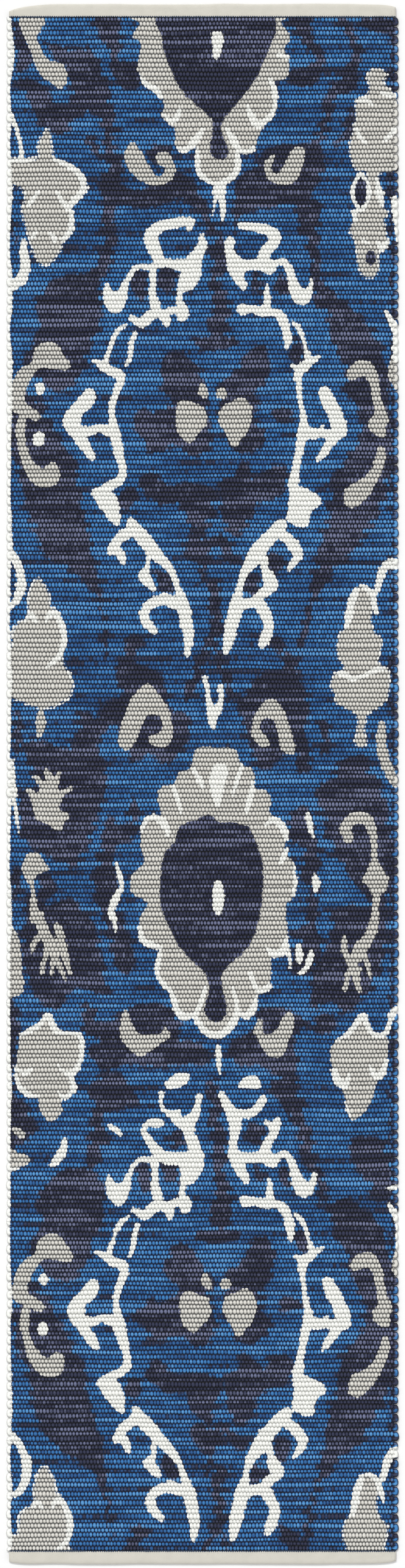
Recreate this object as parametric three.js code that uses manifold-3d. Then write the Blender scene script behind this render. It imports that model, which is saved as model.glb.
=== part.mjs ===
// A flat-woven rag runner rug, 2 ft by 8 ft, lying flat on its back face.
//
// The cloth is plain weave: hundreds of cotton warp yarns run the length of the rug, and thick
// rag strips run to and fro across it as weft. Each rag strip is long enough for a dozen picks,
// so it goes through the warp, turns round the selvedge cord and comes back. At both ends the
// warp is locked by a cotton heading, and a folded binding tape is sewn over the heading.
//
// Frame, in millimetres: X across the rug, Y along it, Z up, origin on the floor at the centre.
// Run with Node, three and manifold-3d. The default export is a THREE.Group of closed meshes.

import * as THREE from "three";
import { mergeVertices } from "three/addons/utils/BufferGeometryUtils.js";
import Module from "manifold-3d";

// ---- Driving dimensions -------------------------------------------------------------------
const rugLength = 2438; // 8 ft over the binding tapes
const rugWidth = 614; // 2 ft nominal, over the selvedge loops
const clothThickness = 6;
const stripCount = 28; // rag strips, each one woven to and fro
const picksPerStrip = 12;
const gap = 0.3; // clearance between neighbouring solids

// Weave
const warpPlane = 3; // height of the middle of the warp yarns
const warpCount = 220;
const warpPitch = 2.7;
const warpYarn = { wide: 1.3, high: 1.2 };
const cordYarn = { wide: 2.6, high: 1.2 }; // the selvedge cord is two yarns laid together
const ridgeDepth = 1.3; // how far the valley between two picks lies below their crowns
const crownShare = 0.45; // flat part of a pick's crown, as a share of the pick
const loopReach = 5; // how far a turn stands out past the straight part of its pick
const loopShoulder = 0.3; // share of a turn's reach where it leaves the next turn

// Ends
const tape = { visible: 20.5, sheet: 0.6, width: 604, height: 6, turnIn: 6, endTurnIn: 8 };
const heading = { setBack: 8.5, reach: 8, wall: 1.2 };
const lockBar = 1.6; // the locked warp ends at each end of the rug
const thread = { wide: 0.6, high: 0.5 };
const seamInset = 3; // from the mouth of the tape to its seam
const endStitchInset = 7; // from the end of the tape to the stitches that close it
const foldSteps = 6; // flat faces round the outer fold of the tape

// ---- Sizes that follow --------------------------------------------------------------------
const clothLength = rugLength - 2 * tape.visible;
const stripLength = clothLength / stripCount;
const pickPitch = stripLength / picksPerStrip;
const straightHalfWidth = rugWidth / 2 - loopReach;
const yarnSlot = { low: warpPlane - warpYarn.high / 2 - gap, high: warpPlane + warpYarn.high / 2 + gap };
const warpHalfWidth = (warpCount * warpPitch) / 2;
const cordCentre = warpHalfWidth + gap + cordYarn.wide / 2;
const slotHalfWidth = cordCentre + cordYarn.wide / 2 + gap;

// ---- Materials ----------------------------------------------------------------------------
const colours = { rag: 0x3b5d86, warp: 0x2c3550, tape: 0xd6d3c7, thread: 0xcfcabb };
const cloth = (color) => new THREE.MeshStandardMaterial({ color, roughness: 0.95, metalness: 0 });
const materials = {
  rag: cloth(colours.rag),
  warp: cloth(colours.warp),
  tape: cloth(colours.tape),
  thread: cloth(colours.thread),
};

// ---- Solids -------------------------------------------------------------------------------
const wasm = await Module();
wasm.setup();

// A closed three.js geometry as a manifold-3d solid, for joins and cuts.
function solidOf(geometry) {
  const bare = geometry.clone();
  bare.deleteAttribute("normal");
  bare.deleteAttribute("uv");
  const merged = mergeVertices(bare);
  return new wasm.Manifold(
    new wasm.Mesh({
      numProp: 3,
      vertProperties: merged.attributes.position.array,
      triVerts: new Uint32Array(merged.index.array),
    }),
  );
}

function geometryOf(solid) {
  const mesh = solid.getMesh();
  return new THREE.BufferGeometry()
    .setAttribute("position", new THREE.BufferAttribute(mesh.vertProperties, 3))
    .setIndex(new THREE.BufferAttribute(mesh.triVerts, 1));
}

// A box between two corners.
function block(low, high) {
  const size = high.map((value, axis) => value - low[axis]);
  const middle = high.map((value, axis) => (value + low[axis]) / 2);
  return solidOf(new THREE.BoxGeometry(...size).translate(...middle));
}

// A side view given as [y, z] points, drawn out along X from -halfWidth to halfWidth.
function drawnAcross(points, halfWidth) {
  const shape = new THREE.Shape(points.map(([y, z]) => new THREE.Vector2(y, z)));
  const geometry = new THREE.ExtrudeGeometry(shape, { depth: 2 * halfWidth, bevelEnabled: false });
  // ExtrudeGeometry draws in x, y and pushes along z: turn y, z, x into place.
  const turn = new THREE.Matrix4().makeBasis(
    new THREE.Vector3(0, 1, 0),
    new THREE.Vector3(0, 0, 1),
    new THREE.Vector3(1, 0, 0),
  );
  return solidOf(geometry.applyMatrix4(turn).translate(-halfWidth, 0, 0));
}

// A plan given as [x, y] points, pushed up from z = 0 by height.
function pushedUp(points, height) {
  const shape = new THREE.Shape(points.map(([x, y]) => new THREE.Vector2(x, y)));
  return solidOf(new THREE.ExtrudeGeometry(shape, { depth: height, bevelEnabled: false }));
}

// ---- Weft ---------------------------------------------------------------------------------
// Side view of one strip: a flat-topped ridge for each pick on the face and on the back.
function ridgedOutline(startY) {
  const length = stripLength - gap;
  const pitch = length / picksPerStrip;
  const margin = ((1 - crownShare) / 2) * pitch;
  const back = [];
  const face = [];
  for (let pick = 0; pick < picksPerStrip; pick += 1) {
    const y = startY + pick * pitch;
    back.push([y, ridgeDepth], [y + margin, 0], [y + pitch - margin, 0]);
    face.push(
      [y, clothThickness - ridgeDepth],
      [y + margin, clothThickness],
      [y + pitch - margin, clothThickness],
    );
  }
  const endY = startY + length;
  back.push([endY, ridgeDepth]);
  face.push([endY, clothThickness - ridgeDepth]);
  return [...back, ...face.reverse()];
}

// Plan of one selvedge of a strip, from its first pick to its last. A turn takes in two picks,
// and the turns on the other side are one pick further on, so the first and last picks there
// end in half a turn. side is 1 on the right and -1 on the left.
function selvedgeOutline(startY, side) {
  const pitch = (stripLength - gap) / picksPerStrip;
  const firstTurn = side > 0 ? 0 : -1;
  const points = [];
  for (let pick = firstTurn; pick < picksPerStrip; pick += 2) {
    for (const [share, reach] of [[0, loopShoulder], [0.45, 1], [1.55, 1]]) {
      const along = Math.min(Math.max(pick + share, 0), picksPerStrip);
      points.push([side * (straightHalfWidth + reach * loopReach), startY + along * pitch]);
    }
  }
  points.push([side * (straightHalfWidth + loopShoulder * loopReach), startY + picksPerStrip * pitch]);
  // A clipped half turn puts two points at the strip's end: keep one of them.
  return points.filter(([, y], i) => i === 0 || y > points[i - 1][1]);
}

// One rag strip: a ridged slab with scalloped selvedges, open through the middle for the warp.
function ragStrip(index) {
  const startY = -clothLength / 2 + index * stripLength + gap / 2;
  const slab = drawnAcross(ridgedOutline(startY), rugWidth / 2);
  const plan = [...selvedgeOutline(startY, 1), ...selvedgeOutline(startY, -1).reverse()];
  const warpPassage = block(
    [-slotHalfWidth, startY - 1, yarnSlot.low],
    [slotHalfWidth, startY + stripLength + 1, yarnSlot.high],
  );
  return slab.intersect(pushedUp(plan, clothThickness)).subtract(warpPassage);
}

// ---- Warp ---------------------------------------------------------------------------------
// The warp: parallel yarns, joined at both ends by their locked ends.
function warpYarns() {
  const halfLength = rugLength / 2 - tape.sheet - gap;
  const low = warpPlane - warpYarn.high / 2;
  const high = warpPlane + warpYarn.high / 2;
  const lock = (start) => block([-warpHalfWidth, start, low], [warpHalfWidth, start + lockBar, high]);
  let comb = lock(-halfLength).add(lock(halfLength - lockBar));
  for (let i = 0; i < warpCount; i += 1) {
    const x = -warpHalfWidth + (i + 0.5) * warpPitch;
    const side = warpYarn.wide / 2;
    const yarn = block([x - side, -halfLength + 0.5, low + 0.05], [x + side, halfLength - 0.5, high - 0.05]);
    comb = comb.add(yarn);
  }
  return comb;
}

function selvedgeCord(side) {
  const halfLength = rugLength / 2 - tape.visible + 2;
  const x = side * cordCentre;
  return block(
    [x - cordYarn.wide / 2, -halfLength, warpPlane - cordYarn.high / 2],
    [x + cordYarn.wide / 2, halfLength, warpPlane + cordYarn.high / 2],
  );
}

// ---- Ends ---------------------------------------------------------------------------------
// The ends are built for the head, at +Y. The foot is the same piece turned round Z.
const mouth = rugLength / 2 - tape.visible;

// The cotton heading: fine picks above and below the warp, closed at its own two selvedges.
function headingPiece() {
  const half = warpHalfWidth + gap + heading.wall;
  const start = mouth + heading.setBack;
  const end = start + heading.reach;
  const cover = 2 * tape.sheet + gap;
  const whole = block([-half, start, cover], [half, end, tape.height - cover]);
  return whole.subtract(
    block([-warpHalfWidth - gap, start - 1, yarnSlot.low], [warpHalfWidth + gap, end + 1, yarnSlot.high]),
  );
}

// Side view of the folded tape, from its mouth on the face round the outer fold to the back.
function tapeOutline() {
  const outer = tape.height / 2;
  const foldY = rugLength / 2 - outer;
  const round = (radius) =>
    Array.from({ length: foldSteps + 1 }, (_, i) => {
      const angle = -Math.PI / 2 + (Math.PI * i) / foldSteps;
      return [foldY + radius * Math.cos(angle), outer + radius * Math.sin(angle)];
    });
  const inside = round(outer - tape.sheet).reverse();
  const faceEdge = [[mouth, tape.height], [mouth, tape.height - tape.sheet]];
  return [[mouth, 0], ...round(outer), ...faceEdge, ...inside, [mouth, tape.sheet]];
}

// The tape's raw edges are turned in along the mouth and at both ends, so it is double there.
function bindingTape() {
  const half = tape.width / 2;
  let piece = drawnAcross(tapeOutline(), half);
  const layers = [
    [tape.sheet / 2, 2 * tape.sheet],
    [tape.height - 2 * tape.sheet, tape.height - tape.sheet / 2],
  ];
  const foldStart = mouth + tape.visible - tape.height / 2;
  for (const [low, high] of layers) {
    piece = piece.add(block([-half, mouth, low], [half, mouth + tape.turnIn, high]));
    piece = piece.add(block([-half, mouth, low], [-half + tape.endTurnIn, foldStart, high]));
    piece = piece.add(block([half - tape.endTurnIn, mouth, low], [half, foldStart, high]));
  }
  for (const groove of [...seamGrooves(), ...endGrooves()]) piece = piece.subtract(groove);
  return piece;
}

// A thread lies in the dent that its own tension pulls into the tape: seams on both faces.
const seamY = mouth + seamInset;
const dent = { wide: thread.wide + 2 * gap, deep: thread.high + gap + 0.1 };
const seamHalf = tape.width / 2 - 1.5;

function seamGrooves() {
  const x = seamHalf + gap;
  const y = [seamY - dent.wide / 2, seamY + dent.wide / 2];
  return [
    block([-x, y[0], -1], [x, y[1], dent.deep]),
    block([-x, y[0], tape.height - dent.deep], [x, y[1], tape.height + 1]),
  ];
}

function seamThread(onFace) {
  const low = onFace ? tape.height - thread.high : 0;
  const y = [seamY - thread.wide / 2, seamY + thread.wide / 2];
  return block([-seamHalf, y[0], low], [seamHalf, y[1], low + thread.high]);
}

// Short rows of stitches close the tape's two ends, on the face.
const endStitchX = tape.width / 2 - endStitchInset;
const endStitchSpan = [mouth + seamInset + 1.5, rugLength / 2 - tape.height / 2 - 0.6];

function endGrooves() {
  return [-1, 1].map((side) =>
    block(
      [side * endStitchX - dent.wide / 2, endStitchSpan[0] - gap, tape.height - dent.deep],
      [side * endStitchX + dent.wide / 2, endStitchSpan[1] + gap, tape.height + 1],
    ),
  );
}

function endStitches(side) {
  const low = tape.height - thread.high;
  return block(
    [side * endStitchX - thread.wide / 2, endStitchSpan[0], low],
    [side * endStitchX + thread.wide / 2, endStitchSpan[1], low + thread.high],
  );
}

// ---- Assembly -----------------------------------------------------------------------------
function named(name, solid, material) {
  const mesh = new THREE.Mesh(geometryOf(solid), material);
  mesh.name = name;
  return mesh;
}

function boundEnd(end) {
  const group = new THREE.Group();
  group.add(
    named(`heading_${end}`, headingPiece(), materials.warp),
    named(`binding_tape_${end}`, bindingTape(), materials.tape),
    named(`face_seam_${end}`, seamThread(true), materials.thread),
    named(`back_seam_${end}`, seamThread(false), materials.thread),
    named(`end_stitches_${end}_a`, endStitches(1), materials.thread),
    named(`end_stitches_${end}_b`, endStitches(-1), materials.thread),
  );
  return group;
}

const rug = new THREE.Group();
for (let i = 0; i < stripCount; i += 1) {
  rug.add(named(`rag_strip_${String(i + 1).padStart(2, "0")}`, ragStrip(i), materials.rag));
}
rug.add(
  named("warp_yarns", warpYarns(), materials.warp),
  named("selvedge_cord_left", selvedgeCord(-1), materials.warp),
  named("selvedge_cord_right", selvedgeCord(1), materials.warp),
);
rug.add(boundEnd("head"));
const foot = boundEnd("foot");
foot.rotation.z = Math.PI;
rug.add(foot);

export default rug;
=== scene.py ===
# %% [markdown]
# # A printed rag runner, built pick by pick
#
# The rug is a flat weave. Thick rag strips run to and fro as weft through fine cotton warp
# yarns, a pattern is printed on the face after weaving, and a cream herringbone tape binds
# both ends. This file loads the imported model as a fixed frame, and then makes each soft part
# as it is made on the loom: strips, warp, selvedge cords, headings, tapes and stitches.

import math

import bpy
import numpy as np
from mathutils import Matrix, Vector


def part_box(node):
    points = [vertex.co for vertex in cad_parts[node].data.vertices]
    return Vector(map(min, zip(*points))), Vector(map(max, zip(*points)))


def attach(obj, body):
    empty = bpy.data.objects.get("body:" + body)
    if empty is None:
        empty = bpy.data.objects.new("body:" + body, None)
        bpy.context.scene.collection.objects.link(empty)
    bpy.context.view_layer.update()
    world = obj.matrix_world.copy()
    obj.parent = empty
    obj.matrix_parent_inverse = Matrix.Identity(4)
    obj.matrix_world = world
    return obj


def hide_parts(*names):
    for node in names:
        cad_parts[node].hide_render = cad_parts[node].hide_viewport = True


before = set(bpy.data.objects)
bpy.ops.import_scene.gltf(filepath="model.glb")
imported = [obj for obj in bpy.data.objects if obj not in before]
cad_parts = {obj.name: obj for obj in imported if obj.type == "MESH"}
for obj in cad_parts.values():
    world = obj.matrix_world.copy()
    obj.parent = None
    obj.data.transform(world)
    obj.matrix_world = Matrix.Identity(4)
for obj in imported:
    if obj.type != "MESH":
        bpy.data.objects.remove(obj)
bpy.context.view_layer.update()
print("frame nodes:", len(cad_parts))

# %% [markdown]
# Sizes come from the frame's own boxes. The numbers that stay here are counts and shares that
# a weaver would quote: how many picks, how many warp yarns, how deep a valley is.

# %% Sizes from the frame
MM = 0.001
strips = sorted(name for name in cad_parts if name.startswith("rag_strip_"))
cloth_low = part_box(strips[0])[0].y
cloth_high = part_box(strips[-1])[1].y
warp_low, warp_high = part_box("warp_yarns")
cord_low, cord_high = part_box("selvedge_cord_right")
warp_half_width = warp_high.x
warp_plane = (warp_low.z + warp_high.z) / 2
cord_x = (cord_low.x + cord_high.x) / 2

PICKS_PER_STRIP = 12
WARP_COUNT = 220
STRIPS_PER_LENGTH = 2  # two rag strips are shown as one length of cloth
SPAN = 640.0  # mm across the rug that is covered by random numbers
picks = PICKS_PER_STRIP * len(strips)
pick_pitch = (cloth_high - cloth_low) / picks
warp_pitch = 2 * warp_half_width / WARP_COUNT
bead_pitch = 2 * warp_pitch
print(f"{picks} picks of {pick_pitch / MM:.2f} mm, beads {bead_pitch / MM:.2f} mm apart")

# %% [markdown]
# Every new piece is one mesh whose points are worked out as whole arrays. These helpers turn
# such arrays into an object: a tube is a grid of rings, closed round each ring and capped at
# both ends, and a named array of numbers goes along as an attribute for the material to read.

# %% Helper: arrays to a mesh
def cloth_mesh(name, points, face_sets):
    """A smooth mesh object from an array of points and a list of face arrays. The faces in
    one array have the same corner count."""
    corners = np.concatenate([f.ravel() for f in face_sets]).astype(np.int32)
    sizes = np.concatenate([np.full(len(f), f.shape[1]) for f in face_sets]).astype(np.int32)
    starts = np.concatenate([[0], np.cumsum(sizes)[:-1]]).astype(np.int32)
    mesh = bpy.data.meshes.new(name)
    mesh.vertices.add(len(points))
    mesh.vertices.foreach_set("co", np.asarray(points, np.float32).ravel())
    mesh.loops.add(len(corners))
    mesh.loops.foreach_set("vertex_index", corners)
    mesh.polygons.add(len(sizes))
    mesh.polygons.foreach_set("loop_start", starts)
    mesh.polygons.foreach_set("loop_total", sizes)
    mesh.polygons.foreach_set("use_smooth", np.ones(len(sizes), bool))
    mesh.update(calc_edges=True)
    mesh.validate()
    piece = bpy.data.objects.new(name, mesh)
    bpy.context.scene.collection.objects.link(piece)
    return piece


def number_on(piece, name, values):
    """Stores one number per point, for the Attribute node to read."""
    attribute = piece.data.attributes.new(name, "FLOAT", "POINT")
    attribute.data.foreach_set("value", np.asarray(values, np.float32).ravel())


def ring_faces(rings, around, runs=1):
    """Quads between neighbouring rings of each run, and one face as a cap at each of its ends.
    Points are numbered run by run, then ring by ring, then round the ring."""
    run, ring, corner = np.meshgrid(
        np.arange(runs), np.arange(rings - 1), np.arange(around), indexing="ij"
    )
    first = (run * rings + ring) * around
    ahead = first + around
    turn = (corner + 1) % around
    sides = np.stack([first + corner, ahead + corner, ahead + turn, first + turn], -1)
    start = np.arange(runs)[:, None] * rings * around + np.arange(around)
    end = start[:, ::-1] + (rings - 1) * around
    return [sides.reshape(-1, 4), start, end]


# %% [markdown]
# Nothing hand woven repeats exactly. That wander comes from random numbers at evenly spaced
# knots, blended with a cosine between the knots. `smooth_noise` does it along a line, and
# `blended`, further down, over a grid. Each use has its own seed, so the rug comes out the same
# on every run.

# %% Helper: wander
def smooth_noise(seed, step, at):
    """Random values in -1..1 at knots every `step` mm over SPAN, read at `at` by cosine
    blending between the two nearest knots."""
    values = np.random.default_rng(seed).uniform(-1, 1, int(SPAN / step) + 4)
    place = np.clip((at + SPAN / 2) / step, 0, len(values) - 2.001)
    whole = place.astype(int)
    blend = (1 - np.cos(np.pi * (place - whole))) / 2
    return values[whole] * (1 - blend) + values[whole + 1] * blend


# %% [markdown]
# ## Camera, light and floor
#
# The rug lies flat and is seen from straight above, so that its whole length fills the frame.
# A long lens from twelve metres keeps the two ends as wide as the middle. One soft key light
# from the head end lets every bead cast a small shadow into the valley beside it, and a pale
# world fills the rest.

# %% Camera
FILM = 36.0  # mm on the long side
VIEW_HEIGHT = 2.4513  # m that the frame's long side takes in
VIEW_DISTANCE = 12.0

camera_data = bpy.data.cameras.new("camera")
camera_data.sensor_width = FILM
camera_data.lens = FILM * VIEW_DISTANCE / VIEW_HEIGHT
camera_data.clip_end = 500
camera = bpy.data.objects.new("camera", camera_data)
camera.location = (0, 0, VIEW_DISTANCE)
bpy.context.scene.collection.objects.link(camera)
bpy.context.scene.camera = camera
print(f"lens {camera_data.lens:.0f} mm")

# %% Soft key light and pale world
key_data = bpy.data.lights.new("key", "SUN")
key_data.energy = 1.6
key_data.angle = math.radians(16)
key = bpy.data.objects.new("key", key_data)
key.rotation_euler = (math.radians(-38), math.radians(-14), 0)
bpy.context.scene.collection.objects.link(key)

world = bpy.data.worlds.new("studio")
world.use_nodes = True
world.node_tree.nodes["Background"].inputs["Color"].default_value = (1, 1, 1, 1)
world.node_tree.nodes["Background"].inputs["Strength"].default_value = 0.68
bpy.context.scene.world = world

bpy.context.scene.view_settings.view_transform = "Standard"

# %% Floor
FLOOR_HALF = 150.0

floor_mesh = bpy.data.meshes.new("floor")
floor_mesh.from_pydata(
    [(x * FLOOR_HALF, y * FLOOR_HALF, 0) for x, y in ((-1, -1), (1, -1), (1, 1), (-1, 1))],
    [],
    [(0, 1, 2, 3)],
)
floor = bpy.data.objects.new("floor", floor_mesh)
bpy.context.scene.collection.objects.link(floor)

# %% [markdown]
# ## The print
#
# The face is printed after weaving with an ikat-style pattern: navy shadows on a blue ground,
# grey flowers and hooks, and white scrolls where the cloth was left bare. An image would be
# the usual way, but this file carries none. Each motif is instead drawn here with a brush, in
# millimetres from the middle of the rug. A `blob` is a smooth closed outline through a few
# points, and a `stroke` is a line whose half width changes from point to point, as a loaded
# brush leaves it. Motifs are kept as signed distances, negative inside, because a distance can
# be read anywhere and its edge can be roughened later by the cloth.

# %% The printer's table
TABLE_STEP = 1.5  # mm between the points where distances are kept
TABLE_MARGIN = 9.0  # mm of distance kept outside a motif
INKS = ("navy", "grey", "eye", "white", "rim")  # a rim is kept like an ink, and left bare

table_x = np.arange(-318, 318.1, TABLE_STEP)
table_y = np.arange(-1225, 1225.1, TABLE_STEP)
table = {ink: np.full((len(table_y), len(table_x)), TABLE_MARGIN) for ink in INKS}


def smooth_line(points, closed, steps=5):
    """Catmull-Rom: between two points the line is a cubic that leaves each along the chord of
    its neighbours. Extra columns, such as a half width, are blended the same way."""
    points = np.asarray(points, float)
    if closed:
        padded = np.vstack([points[-1], points, points[:2]])
    else:
        padded = np.vstack([2 * points[0] - points[1], points, 2 * points[-1] - points[-2]])
    before, start, end, after = padded[:-3], padded[1:-2], padded[2:-1], padded[3:]
    t = (np.arange(steps) / steps)[None, :, None]
    before, start, end, after = (side[:, None, :] for side in (before, start, end, after))
    line = start + (end - before) * t / 2
    line = line + (before - 2.5 * start + 2 * end - after / 2) * t**2
    line = line + (1.5 * start - before / 2 - 1.5 * end + after / 2) * t**3
    line = line.reshape(-1, points.shape[1])
    return line if closed else np.vstack([line, points[-1]])


def window(line, reach):
    """The part of the table within reach of a line, as two slices and its points."""
    low = line[:, :2].min(0) - reach
    high = line[:, :2].max(0) + reach
    cols = slice(*np.searchsorted(table_x, [low[0], high[0]]))
    rows = slice(*np.searchsorted(table_y, [low[1], high[1]]))
    x, y = np.meshgrid(table_x[cols], table_y[rows])
    return rows, cols, x, y


def nearest(x, y, line, closed):
    """Distance from each point to a chain of segments, less the half width there."""
    ends = np.roll(line, -1, 0) if closed else line[1:]
    best = np.full(x.shape, 1e6)
    for a, b in zip(line[: len(ends)], ends):
        along = b - a
        length = along[0] ** 2 + along[1] ** 2 + 1e-9
        share = np.clip(((x - a[0]) * along[0] + (y - a[1]) * along[1]) / length, 0, 1)
        gap = np.hypot(x - a[0] - share * along[0], y - a[1] - share * along[1])
        width = a[2] + share * (b[2] - a[2]) if len(a) > 2 else 0
        best = np.minimum(best, gap - width)
    return best


def inside(x, y, line):
    """Even-odd rule: a point is inside if a ray to the right crosses the outline oddly."""
    odd = np.zeros(x.shape, bool)
    for a, b in zip(line, np.roll(line, -1, 0)):
        crosses = (a[1] > y) != (b[1] > y)
        rise = (b[1] - a[1]) or 1e-9
        odd ^= crosses & (x < a[0] + (y - a[1]) * (b[0] - a[0]) / rise)
    return odd


def lay(ink, rows, cols, distance):
    """Joins a motif to what is on the table already: the smaller distance wins."""
    table[ink][rows, cols] = np.minimum(table[ink][rows, cols], distance)


def straight(points):
    return points


def second_repeat(points):
    """The screen's second impression, further down the rug and a little askew."""
    moved = np.array(points, float)
    drop = 785 - moved[:, 1]
    moved[:, 0] += 4 + 0.01 * drop
    moved[:, 1] += -1395 + 0.017 * drop
    return moved


def blob(ink, points, rim=0, place=straight):
    """A filled smooth outline. A rim is a border of that width outside it, kept apart."""
    line = smooth_line(place(np.array(points, float)), closed=True)
    rows, cols, x, y = window(line, TABLE_MARGIN + rim)
    distance = nearest(x, y, line, closed=True)
    distance = np.where(inside(x, y, line), -distance, distance)
    lay(ink, rows, cols, distance)
    if rim:
        lay("rim", rows, cols, distance - rim)


def stroke(ink, points, place=straight):
    """A brush stroke through (x, y, half width) points."""
    line = smooth_line(place(np.array(points, float)), closed=False, steps=4)
    rows, cols, x, y = window(line, TABLE_MARGIN + line[:, 2].max())
    lay(ink, rows, cols, nearest(x, y, line, closed=False))


def dot(ink, x, y, wide, high, place=straight):
    """An oval, drawn as a blob through eight points of it."""
    turn = np.arange(8) * np.pi / 4
    oval = np.stack([x + wide * np.cos(turn), y + high * np.sin(turn)], 1)
    blob(ink, oval, place=place)


# %% [markdown]
# The scroll frame is printed twice down the rug, so its motifs are drawn once, as a function
# that takes the place of the impression.

# %% The scroll frame
def scroll_frame(place):
    """White scrolls, from the cross bars down to the two feet."""
    for line in (
        # left of the axis: limb, arch over two windows, bulb and chain
        [(-12, 815, 12), (-17, 800, 15), (-24, 785, 14), (-34, 770, 5), (-36, 752, 5), (-30, 738, 10),
         (-33, 729, 7)],
        [(-26, 810, 11), (-45, 812, 8), (-62, 816, 5), (-76, 808, 6), (-78, 785, 5), (-78, 765, 6),
         (-74, 748, 8)],
        [(-78, 808, 5), (-90, 808, 5), (-102, 808, 4), (-113, 796, 4), (-119, 782, 4)],
        [(-112, 729, 4), (-100, 722, 7), (-92, 722, 8), (-82, 732, 8), (-68, 736, 8), (-57, 727, 8),
         (-56, 717, 4)],
        [(-56, 738, 5), (-44, 740, 6), (-33, 740, 6)],
        [(-121, 717, 3), (-134, 706, 4), (-142, 688, 3.5), (-149, 668, 4), (-152, 655, 5)],
        [(-106, 704, 4), (-111, 688, 4), (-113, 670, 4), (-119, 655, 2.5)],
        # the left side rail and its hooks
        [(-171, 662, 3), (-158, 655, 6), (-147, 647, 7), (-132, 641, 8), (-127, 631, 7), (-134, 614, 6),
         (-140, 595, 5), (-141, 575, 5), (-138, 555, 8), (-135, 540, 9), (-131, 520, 8), (-126, 500, 6),
         (-125, 484, 7), (-131, 473, 7), (-147, 465, 7), (-160, 456, 8)],
        [(-177, 609, 9), (-182, 598, 12), (-196, 584, 11), (-204, 567, 14), (-198, 552, 11), (-190, 538, 9),
         (-180, 522, 8), (-172, 510, 5)],
        [(-194, 552, 8), (-178, 551, 7), (-163, 556, 6), (-150, 553, 8), (-137, 548, 9)],
        [(-164, 454, 9), (-152, 446, 15), (-144, 433, 14), (-139, 420, 10), (-133, 408, 4)],
        # the left foot: two arches
        [(-112, 409, 7), (-106, 398, 11), (-93, 385, 11), (-80, 369, 10), (-67, 354, 9), (-54, 340, 7),
         (-45, 325, 5), (-38, 304, 5), (-31, 284, 9), (-27, 262, 10), (-23, 240, 9), (-22, 222, 7),
         (-24, 203, 4)],
        [(-112, 396, 9), (-127, 386, 8), (-138, 372, 8), (-144, 362, 5)],
        [(-134, 366, 8), (-127, 356, 7), (-123, 344, 3)],
        [(-83, 372, 3), (-85, 350, 4), (-87, 335, 5), (-92, 326, 9), (-84, 316, 8), (-77, 305, 4)],
        [(-60, 294, 5), (-48, 287, 7), (-33, 278, 9)],
        [(-40, 279, 7), (-60, 287, 8), (-78, 283, 8), (-90, 271, 7), (-90, 257, 8), (-82, 246, 7),
         (-74, 238, 5)],
        # right of the axis
        [(44, 822, 8), (49, 808, 10), (55, 793, 9), (64, 777, 6)],
        [(52, 812, 9), (72, 811, 8), (92, 812, 9), (105, 803, 7), (112, 808, 5)],
        [(98, 814, 8), (112, 813, 5), (124, 818, 5), (134, 807, 6), (141, 787, 7), (147, 770, 11),
         (155, 761, 13), (166, 770, 6), (171, 787, 3)],
        [(100, 778, 3), (101, 764, 5), (101, 748, 6)],
        [(62, 742, 9), (78, 742, 6), (95, 738, 8), (110, 738, 6), (121, 732, 8), (128, 718, 7),
         (132, 700, 7), (132, 682, 4)],
        [(140, 722, 3), (150, 712, 4), (157, 696, 3), (162, 678, 3), (166, 664, 6)],
        # the right side rail
        [(182, 668, 3), (172, 662, 5), (160, 653, 8), (151, 645, 8), (150, 628, 5), (152, 608, 4),
         (155, 588, 4), (158, 568, 6), (158, 550, 9), (153, 530, 7), (149, 510, 6), (145, 490, 6),
         (142, 470, 9)],
        [(140, 654, 4), (150, 648, 6)],
        [(190, 613, 9), (196, 600, 11), (205, 583, 11), (211, 566, 12), (216, 551, 10), (206, 543, 9),
         (196, 528, 7), (187, 515, 6), (181, 507, 3)],
        [(160, 552, 9), (173, 548, 9), (186, 548, 7), (200, 546, 8)],
        [(188, 560, 2), (184, 553, 4)],
        # the right foot
        [(124, 405, 9), (115, 396, 11), (104, 384, 11), (91, 370, 12), (80, 352, 12), (68, 335, 8),
         (60, 315, 5), (57, 298, 6), (53, 280, 11), (49, 262, 11), (44, 242, 10), (40, 222, 8),
         (37, 206, 5)],
        [(118, 392, 8), (131, 385, 8), (143, 371, 9), (149, 357, 7), (142, 346, 6), (134, 335, 3)],
        [(96, 352, 6), (98, 335, 6), (104, 321, 10), (111, 310, 7), (100, 302, 8), (89, 293, 7)],
        [(56, 278, 9), (72, 283, 8), (88, 282, 9), (98, 266, 9), (103, 248, 8), (99, 231, 9), (93, 218, 7)],
    ):
        stroke("white", line, place=place)
    for outline in (
        [(-152, 785), (-155, 762), (-150, 745), (-137, 735), (-125, 742), (-118, 760), (-115, 783),
         (-122, 788), (-130, 774), (-139, 771), (-146, 778)],
        [(135, 470), (150, 466), (166, 460), (182, 450), (186, 438), (174, 430), (168, 418), (166, 405),
         (152, 401), (138, 408), (131, 416), (135, 435)],
    ):
        blob("white", outline, place=place)


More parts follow.
